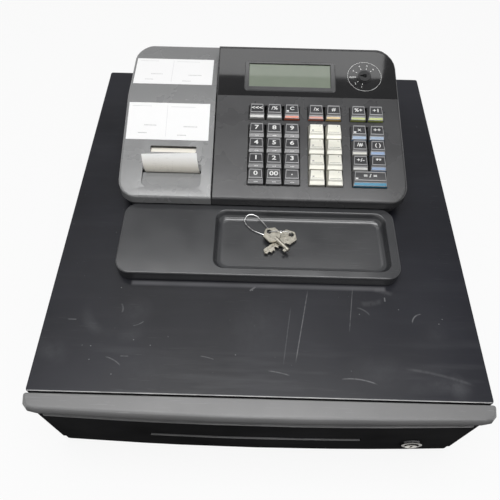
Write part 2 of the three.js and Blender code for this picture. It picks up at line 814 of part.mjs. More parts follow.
function tillTray() {
  const outline = roundedRect(-tillOut, tillOut, tillFront, tillBack, bayCorner);
  const block = prismUp(outline, tillBottom, tillTop);
  const cups = [];
  for (let row = 0; row < cupRows; row += 1) {
    for (let column = 0; column < cupColumns; column += 1) cups.push(coinCup(column, row));
  }
  const bays = Array.from({ length: bayCount }, (_, column) => noteBay(column));
  const lugs = Array.from({ length: clippedBays }, (_, column) => clipLugs(column));
  return join(cut(block, ...cups, ...bays), ...lugs);
}

function noteClip(column) {
  const x = bayMiddle(column);
  const halfHub = clipHubLong / 2;
  const halfPin = halfHub + seat + lugThick;
  const footZ = tillBottom + tillFloor + clipFootHigh;
  const fall = clipZ - footZ;
  const run = Math.sqrt(clipArmLong ** 2 - fall ** 2);
  const arm = [
    [clipY, clipZ + clipArmThick / 2], [clipY - run, footZ + clipArmThick / 2],
    [clipY - run - clipFootLong, footZ + clipArmThick * 2],
    [clipY - run - clipFootLong, footZ + clipArmThick],
    [clipY - run, footZ - clipArmThick / 2], [clipY, clipZ - clipArmThick / 2],
  ];
  const half = clipArmWide / 2;
  return join(
    rod(clipHubRadius, 'x', x - halfHub, x + halfHub, clipY, clipZ, smallSides),
    rod(clipPinRadius, 'x', x - halfPin, x + halfPin, clipY, clipZ, smallSides),
    prismX(arm, x - half, x + half));
}

// Register shells: the sloping deck on the right and the printer cover on the left
const deckZ = (y) => deckFrontZ + (y - deckFront) * Math.tan(deckSlope * rad);
const coverZ = (y) => (y < breakY ? deckZ(y) : breakZ + (y - breakY) * Math.tan(coverRearSlope * rad));
const narrowAt = (y) => sideNarrow * (y - deckFront) / (deckBack + shellEdge - deckFront);
const onDeckY = (s) => deckFront + s * deckCos;
const registerHalf = registerWide / 2;
const caseSizes = {
  left: seamX + seamHalf,
  right: registerHalf,
  back: deckBack + shellEdge,
  corners: [0, frontCorner, rearCorner, 0],
  edges: [seamEdge, shellEdge],
  breaks: [],
  topAt: deckZ,
  narrowAt,
};
const coverSizes = {
  left: -registerHalf,
  right: seamX - seamHalf,
  back: breakY + coverRearLong,
  corners: [frontCorner, 0, 0, rearCorner],
  edges: [shellEdge, seamEdge],
  breaks: [breakY],
  topAt: coverZ,
  narrowAt: () => 0,
};

// A rounded rectangle whose right side draws in with the housing
function drawnInRect(x0, x1, y0, y1, radii, placeY) {
  return new THREE.Shape(outlineRing(roundedRect(x0, x1, y0, y1, radii), 0).map(
    ({ x, y }) => new THREE.Vector2(x > 0 ? x - narrowAt(placeY(y)) : x, y)));
}

// Key blocks: middle across, middle of the lowest row, columns, rows
const lowerRows = rowCount - 1;
const keyBlocks = [
  { x: numberX, s: lowestRowS, columns: 3, rows: lowerRows },
  { x: pluX, s: lowestRowS, columns: 2, rows: lowerRows },
  { x: functionX, s: lowestRowS, columns: 2, rows: lowerRows },
  { x: numberX, s: topRowS, columns: 3, rows: 1 },
  { x: pluX, s: topRowS, columns: 2, rows: 1 },
  { x: functionX, s: topRowS, columns: 2, rows: 1 },
];

function keyOpening({ x, s, columns, rows }) {
  const half = ((columns - 1) * keyPitchX + keyWide) / 2 + keyEase;
  const low = s - keyLong / 2 - keyEase;
  const high = s + (rows - 1) * keyPitchS + keyLong / 2 + keyEase;
  const outline = roundedRect(x - half, x + half, low, high, keyOpeningCorner);
  return prismUp(outline, -shellWall - overrun, overrun, onDeck);
}

const frameX0 = numberX - keyPitchX - keyWide / 2 - frameMargin;
const frameX1 = functionX + (keyPitchX + keyWide) / 2 + frameMargin;
const frameS0 = lowestRowS - keyLong / 2 - frameMargin / 2;
const frameS1 = topRowS + keyLong / 2 + frameMargin;
const postX = [frameX0 + postInset, frameX1 - postInset];
const postS = [frameS0 + postInset, (frameS0 + frameS1) / 2, frameS1 - postInset];

function registerCase() {
  const body = shell(caseSizes);
  const recess = drawnInRect(
    caseSizes.left + panelInset, registerHalf - panelInset, panelStartS, deckLong - panelInset,
    [0, 0, rearCorner - panelInset, 0], onDeckY);
  const posts = postX.flatMap((x) => postS.map((s) => rod(
    postRadius, 'z', -frameDeep + seat, -shellWall / 2, x, s, stemSides, onDeck)));
  const switchTube = rod(
    switchRadius + seat + shellWall, 'z', -switchDeep, -panelThick, switchX, switchS, roundSides, onDeck);
  const switchHole = rod(
    switchRadius + seat, 'z', -switchDeep - overrun, overrun, switchX, switchS, roundSides, onDeck);
  const windowY = rearFootY + overrun;
  const windowLow = shellBottom + rearWindowRise;
  const lean = (rearFootY - caseSizes.back) / (deckZ(caseSizes.back) - shellBottom);
  const window = prismX([
    [rearFootY - lean * rearWindowRise - rearWindowDeep, windowLow],
    [windowY, windowLow],
    [windowY, windowLow + rearWindowHigh],
    [rearFootY - lean * (rearWindowRise + rearWindowHigh) - rearWindowDeep, windowLow + rearWindowHigh],
  ], rearWindowX - rearWindowWide / 2, rearWindowX + rearWindowWide / 2);
  return cut(
    join(cut(body, prismUp(recess, -panelThick, overrun, onDeck)), ...posts, switchTube),
    ...keyBlocks.map(keyOpening), switchHole, window);
}

function printerCover() {
  const body = shell(coverSizes);
  const pad = prismUp(roundedRect(padX0, padX1, padS0, padS1, padCorner), -shellWall / 2, padHigh, onDeck);
  const panDeep = scoopDeep + scoopFloor;
  const pan = slab(
    scoopX0 - scoopFloor, scoopX1 + scoopFloor, scoopS0, scoopS1 + scoopFloor, -panDeep, -shellWall / 2,
    onDeck);
  const fall = prismX([
    [scoopS0, overrun], [scoopS0, 0], [scoopSlotS0, -scoopDeep], [scoopSlotS1, -scoopDeep],
    [scoopS1, 0], [scoopS1, overrun],
  ], scoopX0 - overrun, scoopX1 + overrun, onDeck);
  const outline = roundedRect(scoopX0, scoopX1, scoopS0, scoopS1, scoopCorner);
  const scoop = fall.intersect(prismUp(outline, -panDeep - overrun, overrun, onDeck));
  const slot = slab(
    scoopX0, scoopX1, scoopSlotS0, scoopSlotS1, -panDeep - overrun, overrun, onDeck);
  const windowShape = roundedRect(windowX0, windowX1, windowS0, windowS1, windowCorner);
  const window = prismUp(windowShape, -shellWall - overrun, overrun, onDeck);
  return cut(join(body, pad, pan), scoop, slot, window);
}

// Lower shell: a tray with feet, the paper cradle and a cord inlet at the back
const baseFloor = plateTop + seat + baseFeetHigh;
const baseFloorTop = baseFloor + baseWall;
const baseTop = shellBottom - seat;
const baseHalf = registerHalf - baseInset;
const baseFrontY = deckFront + baseInset;
const baseBackY = rearFootY - baseInset;
const rollY = deckFront + rollBack;
const rollZ = baseFloorTop + rollClear + rollRadius + seat;

function paperCradle() {
  const half = rollRadius + seat + cheekThick;
  const halfWide = paperWide / 2 + seat + cheekThick;
  const [x0, x1] = [paperX - halfWide, paperX + halfWide];
  const block = slab(x0, x1, rollY - half, rollY + half, baseFloor, baseFloorTop + cradleHigh);
  const trough = rod(
    rollRadius + seat, 'x', x0 + cheekThick, x1 - cheekThick, rollY, rollZ, roundSides);
  const cheeks = [x0, x1 - cheekThick].map((x) => join(
    slab(x, x + cheekThick, rollY - cheekRadius, rollY + cheekRadius, baseFloor, rollZ),
    rod(cheekRadius, 'x', x, x + cheekThick, rollY, rollZ, roundSides)));
  return join(cut(block, trough), ...cheeks);
}

function registerBase() {
  const corner = (radius) => radius - baseInset;
  const radii = [corner(frontCorner), corner(frontCorner), corner(rearCorner), corner(rearCorner)];
  const placeY = (y) => y;
  const outline = drawnInRect(-baseHalf, baseHalf, baseFrontY, baseBackY, radii, placeY);
  const innerRadii = radii.map((radius) => radius - baseWall);
  const inner = drawnInRect(
    -baseHalf + baseWall, baseHalf - baseWall, baseFrontY + baseWall, baseBackY - baseWall, innerRadii,
    placeY);
  const tray = cut(prismUp(outline, baseFloor, baseTop), prismUp(inner, baseFloorTop, baseTop + overrun));
  const feet = [-1, 1].flatMap((side) => [baseFrontY + registerFootInset, baseBackY - registerFootInset]
    .map((y) => rod(
      registerFootRadius, 'z', plateTop + seat, baseFloor + baseWall / 2,
      side * (baseHalf - registerFootInset), y, smallSides)));
  const inletZ = (baseFloor + baseTop) / 2;
  const ring = rod(
    cordInletRadius + cordInletRing, 'y', baseBackY - baseWall, baseBackY + cordInletReach,
    cordInletX, inletZ, smallSides);
  const hole = rod(
    cordInletRadius, 'y', baseBackY - overrun, baseBackY + overrun, cordInletX, inletZ, smallSides);
  return cut(join(tray, ring, ...feet, paperCradle()), hole);
}

// One key: a stepped cap with leaning sides, a skirt and a round stem
function keyCap(wide) {
  const [half, halfLong] = [wide / 2, keyLong / 2];
  const ring = (x0, x1, s0, s1, t) => [
    new THREE.Vector3(-x0, s0, t), new THREE.Vector3(x0, s0, t),
    new THREE.Vector3(x1, s1, t), new THREE.Vector3(-x1, s1, t),
  ];
  const topFront = half - keySideLean;
  const topBack = topFront - keyBackNarrow;
  const body = solid(loft([
    ring(half, half, -halfLong, halfLong, -keySkirt),
    ring(half, half, -halfLong, halfLong, 0),
    ring(topFront, topBack, -halfLong + keySideLean / 2, halfLong - keyBackLean, keyHigh),
  ]));
  const ledge = -halfLong + keyStripLong;
  const front = prismX([
    [-halfLong - overrun, keyHigh + overrun], [-halfLong - overrun, keyFrontHigh],
    [-halfLong, keyFrontHigh], [ledge, keyStepHigh], [ledge + keyRiserLong, keyHigh],
    [ledge + keyRiserLong, keyHigh + overrun],
  ], -wide, wide);
  const stem = rod(stemRadius, 'z', -stemDeep, -keySkirt / 2, 0, 0, stemSides);
  return join(cut(body, front), stem);
}

// Places of all keys, named by block, with the wide key at the foot of the last block
const keyNames = [
  [['digit_0', 'digit_00', 'point'], ['digit_1', 'digit_2', 'digit_3'],
    ['digit_4', 'digit_5', 'digit_6'], ['digit_7', 'digit_8', 'digit_9']],
  [['item_1', 'item_2'], ['item_3', 'item_4'], ['item_5', 'item_6'], ['item_7', 'item_8']],
  [['wide'], ['function_1', 'function_2'], ['function_3', 'function_4'], ['function_5', 'function_6']],
  [['top_1', 'top_2', 'top_3']],
  [['top_4', 'top_5']],
  [['top_6', 'top_7']],
];
const keyPlaces = keyBlocks.flatMap((block, number) => keyNames[number].flatMap((names, row) => names.map(
  (name, column) => ({
    name: `key_${name}`,
    wide: names.length < block.columns,
    cream: name.startsWith('item'),
    x: names.length < block.columns ? block.x : block.x + (column - (block.columns - 1) / 2) * keyPitchX,
    s: block.s + row * keyPitchS,
  }))));

function keyFrame() {
  const plate = slab(frameX0, frameX1, frameS0, frameS1, -frameDeep - frameThick, -frameDeep, onDeck);
  const holes = keyPlaces.map(({ x, s }) => rod(
    stemRadius + seat, 'z', -frameDeep - frameThick - overrun, -frameDeep + overrun, x, s, stemSides,
    onDeck));
  return cut(plate, ...holes);
}

// Glossy panel with a raised frame around the glass
function displayPanel() {
  const left = caseSizes.left + panelInset + seat;
  const right = registerHalf - panelInset - seat;
  const outline = drawnInRect(
    left, right, panelStartS + seat, deckLong - panelInset - seat,
    [0, 0, rearCorner - panelInset - seat, 0], onDeckY);
  const plate = prismUp(outline, -panelThick + seat, 0);
  const steps = [[0, -panelThick / 2], [0, 0], [bezelHigh, bezelHigh]];
  const frame = solid(loft(steps.map(([inset, t]) => outlineRing(roundedRect(
    bezelX0 + inset, bezelX1 - inset, bezelS0 + inset, bezelS1 - inset, bezelCorner), t))));
  const glass = slab(
    glassX0 - seat, glassX1 + seat, glassS0 - seat, glassS1 + seat, -overrun, overrun);
  const ring = rod(
    switchRadius + seat + switchRingWide, 'z', -panelThick / 2, switchRingHigh, switchX, switchS);
  const hole = rod(switchRadius + seat, 'z', -overrun, overrun, switchX, switchS);
  return cut(join(plate, frame, ring), glass, hole);
}

function displayGlass() {
  const low = -panelThick + seat;
  return slab(glassX0, glassX1, glassS0, glassS1, low, low + glassThick);
}

function modeSwitch() {
  const rotor = rod(switchRadius, 'z', -switchDeep, switchReach, 0, 0);
  const [low, high] = [switchReach - slotDeep, switchReach + overrun];
  const hole = rod(barrelRadius + seat, 'z', low, high, 0, 0, smallSides);
  const pin = rod(barrelBore - seat, 'z', low - overrun, switchReach, 0, 0, stemSides);
  const halfBit = keyThick / 4 + seat;
  const slot = slab(-barrelRadius - barrelBit - seat, 0, -halfBit, halfBit, low, high);
  return cut(rotor, cut(join(hole, slot), pin));
}

// Printer chassis with its head and motor, and the rubber platen that feeds the paper
const printerY0 = deckFront + printerFront;
const printerFloor = baseFloorTop + seat;
const platenY = deckFront + platenBack;
const platenZ = printerFloor + platenHigh;

function printerFrame() {
  const [x0, x1] = [paperX - printerHalf, paperX + printerHalf];
  const [y0, y1] = [printerY0, printerY0 + printerDeep];
  const floor = slab(x0, x1, y0, y1, printerFloor, printerFloor + printerWall);
  const walls = [x0, x1 - printerWall].map((x) => prismX([
    [y0, printerFloor], [y1, printerFloor], [y1, printerFloor + printerHigh / 2],
    [platenY + platenRadius * 2, printerFloor + printerHigh], [y0, printerFloor + printerHigh],
  ], x, x + printerWall));
  const headY = platenY + platenRadius + seat * 2;
  const half = printerWall / 2;
  const head = slab(x0 + half, x1 - half, headY, headY + headDeep, printerFloor, platenZ + headHigh / 2);
  const motorY = y1 - motorRadius;
  const motor = rod(
    motorRadius, 'x', x0 + printerWall / 2, x0 + motorLong, motorY, printerFloor + motorRadius);
  const holes = rod(
    platenPin + seat, 'x', x0 - overrun, x1 + overrun, platenY, platenZ, smallSides);
  return cut(join(floor, ...walls, head, motor), holes);
}

function platenRoller() {
  const half = printerHalf - printerWall - seat;
  const pinHalf = printerHalf;
  return join(
    rod(platenRadius, 'x', paperX - half, paperX + half, platenY, platenZ),
    rod(platenPin, 'x', paperX - pinHalf, paperX + pinHalf, platenY, platenZ, smallSides));
}

function paperRoll() {
  const half = paperWide / 2;
  const [x0, x1] = [paperX - half, paperX + half];
  return cut(
    rod(rollRadius, 'x', x0, x1, rollY, rollZ, 2 * smallSides),
    rod(rollCore, 'x', x0 - overrun, x1 + overrun, rollY, rollZ, smallSides));
}

// The strip comes up under the window, dips below the scoop, turns up through the slot and
// stands out of it, leaning back and a little to the left
function receiptPaper() {
  const route = new THREE.CatmullRomCurve3([
    [windowS1 + 2 * seat, -paperRunDeep],
    [windowS1, -paperWindowDeep - seat],
    [windowS1 - shellWall, -paperWindowDeep],
    [windowS0, -paperWindowDeep],
    [scoopS1 + scoopFloor, -paperRunDeep],
    ...paperStandShares.map(([s, t]) => [scoopSlotS0 + s * paperStand, t * paperStand]),
  ].map(([s, t]) => new THREE.Vector3(0, s, t)));
  const edge = (side, share) => {
    const { y, z } = route.getPoint(share);
    const tangent = route.getTangent(share);
    const lean = (paperLean * Math.max(z, 0)) / paperStand;
    const x = paperX + paperFootShift + (side * paperWide) / 2 - lean;
    const [s, t] = [(tangent.z * paperThick) / 2, (tangent.y * paperThick) / 2];
    return [new THREE.Vector3(x, y - s, z + t), new THREE.Vector3(x, y + s, z - t)];
  };
  const rings = Array.from({ length: paperSteps + 1 }, (_, i) => {
    const share = i / paperSteps;
    const [leftUp, leftDown] = edge(-1, share * paperCutShare);
    const [rightUp, rightDown] = edge(1, share);
    return [leftUp, rightUp, rightDown, leftDown];
  });
  return solid(loft(rings), onDeck);
}

// Coin tray: a flat end and a filleted recess
const trayY1 = deckFront + trayTuck;
const trayY0 = trayY1 - trayDeep;
const trayBottom = plateTop + seat;
const trayTop = trayBottom + trayHigh;
const recessY0 = trayY0 + recessMarginFront;
const recessY1 = trayY1 - recessMarginBack;
const drawerKeyX = recessX0 + drawerKeyIn;
const drawerKeyY = recessY0 + drawerKeyUp;
const modeKeyX = recessX0 + modeKeyIn;
const modeKeyY = recessY0 + modeKeyUp;

function coinTray() {
  const outline = roundedRect(trayX0, trayX1, trayY0, trayY1, trayCorner);
  const body = pillow(outline, trayBottom, trayTop, trayEdge, false);
  const deep = trayHigh - recessFloor;
  const turns = [0, 22.5, 45, 67.5, 90].map((turn) => turn * rad);
  const levels = [
    [-overrun / 4, overrun],
    [0, 0],
    ...turns.map((turn) => [
      recessSlope - recessFillet * Math.cos(turn), -deep + recessFillet * (1 - Math.sin(turn))]),
  ];
  const rings = levels.map(([inset, drop]) => outlineRing(roundedRect(
    recessX0 + inset, recessX1 - inset, recessY0 + inset, recessY1 - inset,
    Math.max(recessCorner - inset / 2, recessFillet)), trayTop + drop));
  const under = slab(
    trayX0 + trayCorner / 2, recessX0 - trayWall, trayY0 + trayCorner / 2, trayY1 - trayCorner / 2,
    trayBottom - overrun, trayTop - trayWall);
  return cut(body, solid(loft(rings)), under);
}

// The drawer key is flat with a cut edge, the mode key has a round barrel
const ringLow = trayBottom + recessFloor + seat;
const drawerKeyZ = ringLow + 3 * ringWire + seat;
const modeKeyZ = drawerKeyZ + keyThick + seat + barrelRadius - keyThick / 2;

function keyMatrix(x, y, z, turn) {
  return new THREE.Matrix4().makeTranslation(x, y, z)
    .multiply(new THREE.Matrix4().makeRotationZ(turn * rad));
}

function bow(z, matrix) {
  const shape = new THREE.Shape();
  shape.absarc(0, 0, bowRadius, 0, 2 * Math.PI);
  const hole = rod(bowHole, 'z', -overrun, keyThick + overrun, -bowHoleOff, 0, smallSides, matrix);
  return cut(prismUp(shape, 0, keyThick, matrix), hole);
}

function drawerKey() {
  const matrix = keyMatrix(drawerKeyX, drawerKeyY, drawerKeyZ, drawerKeyTurn);
  const half = bladeWide / 2;
  const from = bowRadius - neckLong / 4;
  const step = bladeLong / (bitDeepShares.length + 1);
  const edge = bitDeepShares.flatMap((share, i) => {
    const x = from + neckLong + i * step;
    const deep = half - share * bladeWide;
    return [[x, half], [x + step / 3, deep], [x + (2 * step) / 3, deep]];
  });
  const outline = [
    [0, -half], [from + bladeLong, -half], [from + bladeLong + half / 2, 0], [from + bladeLong, half / 2],
    ...edge.reverse(), [0, half],
  ];
  const shape = new THREE.Shape(outline.map(([x, y]) => new THREE.Vector2(x, y)));
  const grooveSide = -half / 3;
  const groove = slab(
    from + neckLong, from + bladeLong + half, grooveSide - bladeGroove, grooveSide + bladeGroove,
    keyThick - bladeGroove, keyThick + overrun, matrix);
  const blade = prismUp(shape, 0, keyThick, matrix);
  const hole = rod(bowHole, 'z', -overrun, keyThick + overrun, -bowHoleOff, 0, smallSides, matrix);
  return cut(join(bow(0, matrix), blade), groove, hole);
}

function modeKey() {
  const matrix = keyMatrix(modeKeyX, modeKeyY, modeKeyZ, modeKeyTurn);
  const from = bowRadius - neckLong / 4;
  const to = from + barrelLong;
  const middle = keyThick / 2;
  const barrel = rod(barrelRadius, 'x', from - neckLong, to, 0, middle, smallSides, matrix);
  const bore = rod(barrelBore, 'x', to - neckLong, to + overrun, 0, middle, stemSides, matrix);
  const bit = slab(
    to - neckLong, to - neckLong / 4, -barrelRadius - barrelBit, 0, middle / 2, middle * 1.5, matrix);
  return cut(join(bow(0, matrix), barrel, bit), bore);
}

function bowHoleAt(x, y, turn) {
  return [x - bowHoleOff * Math.cos(turn * rad), y - bowHoleOff * Math.sin(turn * rad)];
}

function keyRing() {
  const [ax, ay] = bowHoleAt(modeKeyX, modeKeyY, modeKeyTurn);
  const [bx, by] = bowHoleAt(drawerKeyX, drawerKeyY, drawerKeyTurn);
  const low = ringLow + 2 * ringWire;
  const over = modeKeyZ + keyThick + seat + ringWire;
  const bend = bowHole + ringWire;
  const route = [
    [ax, ay, modeKeyZ + keyThick / 2], [ax + bend, ay, over], [bx - bend, by, over],
    [bx, by, drawerKeyZ + keyThick / 2], [bx - bend / 2, by + bend / 3, low],
    ...ringShares.map(([x, y, z]) => [ax + x * ringLong, ay + y * ringLong, low + z * ringRise]),
  ].map(([x, y, z]) => new THREE.Vector3(x, y, z));
  const curve = new THREE.CatmullRomCurve3(route, true);
  return solid(new THREE.TubeGeometry(curve, ringSteps, ringWire, ringSides, true));
}

node('cabinet_cover', cabinetCover(), finish.blackSteel);
node('cabinet_base', cabinetBase(), finish.blackSteel);
node('front_trim', frontTrim(), finish.nosing);
node('drawer_body', drawerBody(), finish.blackSteel);
node('drawer_front', drawerFront(), finish.drawerBlack);
node('drawer_lock', drawerLock(), finish.nickel);
node('drawer_latch', drawerLatch(), finish.zinc);
node('till_tray', tillTray(), finish.tillPlastic);
for (let column = 0; column < clippedBays; column += 1) {
  node(`note_clip_${column + 1}`, noteClip(column), finish.tillPlastic);
}
node('register_base', registerBase(), finish.baseBlack);
node('register_case', registerCase(), finish.caseGrey);
node('printer_cover', printerCover(), finish.coverGrey);
node('key_frame', keyFrame(), finish.board);
for (const { name, wide, cream, x, s } of keyPlaces) {
  const cap = keyCap(wide ? keyPitchX + keyWide : keyWide);
  node(name, cap, cream ? finish.creamKey : finish.clearKey, deckGroup).position.set(x, s, 0);
}
node('display_panel', displayPanel(), finish.glossBlack, deckGroup);
node('display_glass', displayGlass(), finish.glass, deckGroup);
node('mode_switch', modeSwitch(), finish.glossBlack, deckGroup).position.set(switchX, switchS, 0);
node('printer_frame', printerFrame(), finish.zinc);
node('platen_roller', platenRoller(), finish.rubber);
node('paper_roll', paperRoll(), finish.paper);
node('receipt_paper', receiptPaper(), finish.paper);
node('coin_tray', coinTray(), finish.trayGrey);
node('drawer_key', drawerKey(), finish.nickel);
node('mode_key', modeKey(), finish.nickel);
node('key_ring', keyRing(), finish.zinc);

export default group;
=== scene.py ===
"""Looks of the cash register: surfaces, legends, labels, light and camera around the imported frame."""
import json
import math

import bmesh
import bpy
from mathutils import Euler, Matrix, Vector


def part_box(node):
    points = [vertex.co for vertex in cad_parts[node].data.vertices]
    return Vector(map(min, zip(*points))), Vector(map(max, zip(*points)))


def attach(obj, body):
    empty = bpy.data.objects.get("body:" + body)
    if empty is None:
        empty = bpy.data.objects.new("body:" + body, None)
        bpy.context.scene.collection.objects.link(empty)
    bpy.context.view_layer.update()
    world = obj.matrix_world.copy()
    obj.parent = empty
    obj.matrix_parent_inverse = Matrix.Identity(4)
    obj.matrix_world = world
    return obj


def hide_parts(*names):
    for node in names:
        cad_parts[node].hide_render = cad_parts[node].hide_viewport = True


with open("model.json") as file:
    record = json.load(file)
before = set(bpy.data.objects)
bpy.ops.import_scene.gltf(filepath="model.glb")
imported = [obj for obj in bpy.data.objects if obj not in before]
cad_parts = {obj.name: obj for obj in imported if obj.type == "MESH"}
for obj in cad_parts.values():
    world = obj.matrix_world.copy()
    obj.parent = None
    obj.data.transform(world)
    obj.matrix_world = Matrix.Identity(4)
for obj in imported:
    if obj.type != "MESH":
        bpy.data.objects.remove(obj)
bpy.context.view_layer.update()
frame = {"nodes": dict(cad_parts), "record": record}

MM = 0.001
NODES = frame["nodes"]
BODY_OF = {node: body for body, nodes in frame["record"]["behaviour"]["bodies"].items() for node in nodes}

scene = bpy.context.scene
scene.view_settings.view_transform = "Standard"

# The register's deck and the printer cover's level rear part, in millimetres and degrees
DECK_SLOPE = 16
DECK_Y = -6.6
DECK_Z = 151
COVER_BREAK = 122
COVER_SLOPE = 2


def plane(y, z, slope, x=0):
    """From millimetres across, up and out of a sloping surface to the frame's metres."""
    return (Matrix.Translation((x * MM, y * MM, z * MM)) @ Matrix.Rotation(math.radians(slope), 4, "X")
            @ Matrix.Scale(MM, 4))


def raised(place, height):
    """The same surface, a height in its own units further out."""
    return place @ Matrix.Translation((0, 0, height))


ON_DECK = plane(DECK_Y, DECK_Z, DECK_SLOPE)
FROM_DECK = ON_DECK.inverted()
BREAK_Y = DECK_Y + COVER_BREAK * math.cos(math.radians(DECK_SLOPE))
BREAK_Z = DECK_Z + COVER_BREAK * math.sin(math.radians(DECK_SLOPE))
ON_REAR = plane(BREAK_Y, BREAK_Z, COVER_SLOPE)

# Node graphs
# The middle of a noise's range, where it mostly stays
NOISE_MIDDLE = (0.3, 0.7)


class Nodes:
    """A node tree, with one call for each node."""

    def __init__(self, tree):
        self.tree = tree
        self.tree.nodes.clear()

    def add(self, kind, inputs=None, **settings):
        node = self.tree.nodes.new("ShaderNode" + kind)
        for key, value in settings.items():
            setattr(node, key, value)
        for key, value in (inputs or {}).items():
            self.put(node.inputs[key], value)
        return node

    def put(self, socket, value):
        if isinstance(value, bpy.types.NodeSocket):
            self.tree.links.new(value, socket)
        elif isinstance(value, (tuple, list)) and len(value) == 3 and socket.type == "RGBA":
            socket.default_value = (*value, 1)
        else:
            socket.default_value = value

    def span(self, value, low, high, out_low=0.0, out_high=1.0):
        return self.add("MapRange", {"Value": value, "From Min": low, "From Max": high,
                                     "To Min": out_low, "To Max": out_high}).outputs[0]

    def math(self, how, a, b=0.0):
        return self.add("Math", {0: a, 1: b}, operation=how).outputs[0]

    def times(self, a, b):
        return self.math("MULTIPLY", a, b)

    def minus(self, a, b):
        return self.math("SUBTRACT", a, b)

    def most(self, values):
        total = values[0]
        for value in values[1:]:
            total = self.math("MAXIMUM", total, value)
        return total

    def mix(self, factor, a, b):
        return self.add("Mix", {0: factor, 6: a, 7: b}, data_type="RGBA").outputs[2]

    def seen(self):
        """One for the rays that show the studio: from the camera, off gloss and through glass."""
        path = self.add("LightPath").outputs
        return self.most([path["Is Camera Ray"], path["Is Glossy Ray"], path["Is Transmission Ray"]])


class Graph(Nodes):
    """A material's node tree around one shader."""

    def __init__(self, name):
        self.material = bpy.data.materials.new(name)
        self.material.use_nodes = True
        super().__init__(self.material.node_tree)
        self.bsdf = self.add("BsdfPrincipled")
        self.out = self.add("OutputMaterial", {"Surface": self.bsdf.outputs[0]})
        self.place = self.add("TexCoord").outputs["Object"]

    def set(self, **values):
        for key, value in values.items():
            self.put(self.bsdf.inputs[key.replace("_", " ")], value)

    def level(self, value):
        self.bsdf.inputs["Specular IOR Level"].default_value = value

    def axes(self):
        return self.add("SeparateXYZ", {"Vector": self.place}).outputs

    def stretch(self, scale=(1, 1, 1), turn=(0, 0, 0), at=(0, 0, 0)):
        return self.add("Mapping", {"Vector": self.place, "Scale": scale, "Rotation": turn,
                                    "Location": at}).outputs[0]

    def noise(self, scale, detail=3, rough=0.5, vector=None):
        """A noise with scale repeats a metre."""
        return self.add("TexNoise", {"Vector": vector or self.place, "Scale": scale, "Detail": detail,
                                     "Roughness": rough}).outputs["Fac"]

    def drift(self, scale, low=0.0, high=1.0, detail=3, rough=0.5):
        """A noise's slow change between two values."""
        return self.span(self.noise(scale, detail, rough), *NOISE_MIDDLE, low, high)

    def bump(self, height, strength, deep, normal=None):
        """Relief of the given depth in millimetres, on top of normal where that is given."""
        node = self.add("Bump", {"Height": height, "Strength": strength, "Distance": deep * MM})
        if normal:
            self.put(node.inputs["Normal"], normal)
        return node.outputs[0]


def shade(colour, factor):
    return tuple(min(1, c * factor) for c in colour)


# Fine scratches: how much longer than wide they are, where they break off, and how sharp their edges are
SCRATCH_STRETCH = 34
SCRATCH_GAPS = 9
SCRATCH_KEPT = (0.52, 0.62)
SCRATCH_EDGE = 0.02
# Their directions in radians, each with its repeats a metre
PLASTIC_SCRATCHES = ((0.4, 34), (1.3, 34), (2.5, 34))
COAT_SCRATCHES = ((0.5, 26), (1.9, 31), (2.75, 22))
FINE_SCRATCHES = ((0.3, 40), (1.2, 40), (2.1, 40))


def scratches(graph, directions, least):
    """Thin straight marks in several directions, broken up by a slow noise; a higher least leaves fewer."""
    marks = []
    for turn, size in directions:
        along = graph.stretch((1, SCRATCH_STRETCH, SCRATCH_STRETCH), (0, 0, turn), (turn, 2 * turn, 0))
        lines = graph.noise(size, 2, 0.5, along)
        turned = graph.stretch((1, 1, 1), (0, 0, turn), (3 * turn, 0, turn))
        broken = graph.noise(SCRATCH_GAPS, 2, 0.5, turned)
        marks.append(graph.times(graph.span(lines, least, least + SCRATCH_EDGE),
                                 graph.span(broken, *SCRATCH_KEPT)))
    return graph.most(marks)


# Moulded plastic: how often its tone, sheen and dust change a metre, and how far they go
PLASTIC_TONES = 14
PLASTIC_SHEENS = 30
PLASTIC_SHEEN = (-0.05, 0.06)
PLASTIC_DUST = 520
PLASTIC_DUST_RANGE = (0.66, 0.74)
PLASTIC_DUST_SHADE = 2.4
PLASTIC_MARK_LEAST = 0.68
PLASTIC_MARK_SHADE = 3.5
GRAIN_STRENGTH = 0.6


def moulded(name, colour, rough=0.5, grain=1600, depth=0.03, spread=0.1, level=0.5, dust=0.0, marks=0.0):
    """Spark-eroded plastic: fine grain, slow changes of tone, settled dust and a few light scratches.

    The grain is in repeats a metre and its depth in millimetres.
    """
    graph = Graph(name)
    cloud = graph.drift(PLASTIC_TONES, detail=4)
    tone = graph.mix(cloud, shade(colour, 1 - spread), shade(colour, 1 + spread))
    if dust:
        specks = graph.span(graph.noise(PLASTIC_DUST, 3, 0.7), *PLASTIC_DUST_RANGE, 0, dust)
        tone = graph.mix(specks, tone, shade(colour, PLASTIC_DUST_SHADE))
    if marks:
        lines = scratches(graph, PLASTIC_SCRATCHES, PLASTIC_MARK_LEAST)
        tone = graph.mix(graph.times(lines, marks), tone, shade(colour, PLASTIC_MARK_SHADE))
    low, high = (rough + change for change in PLASTIC_SHEEN)
    graph.set(Base_Color=tone, Roughness=graph.drift(PLASTIC_SHEENS, low, high),
              Normal=graph.bump(graph.noise(grain, 2, 0.6), GRAIN_STRENGTH, depth))
    graph.level(level)
    return graph.material


# Powder coat: how often its tone and sheen change a metre, how far they go, and its orange-peel surface
COAT_TONES = 7
COAT_TONE_RANGE = (0.35, 0.72)
COAT_SHADES = (0.75, 1.35)
COAT_SHEENS = 11
COAT_SHEEN = (-0.06, 0.08)
COAT_MARK_LEAST = 0.688
COAT_MARK_SHARE = 0.4
COAT_MARK_COLOUR = (0.1, 0.1, 0.11)
PEEL_SCALE = 420
PEEL_STRENGTH = 0.35
PEEL_DEEP = 0.05
MARK_RELIEF = 0.3
COAT_MARK_DEEP = 0.04
STEEL_MARK_DEEP = 0.03


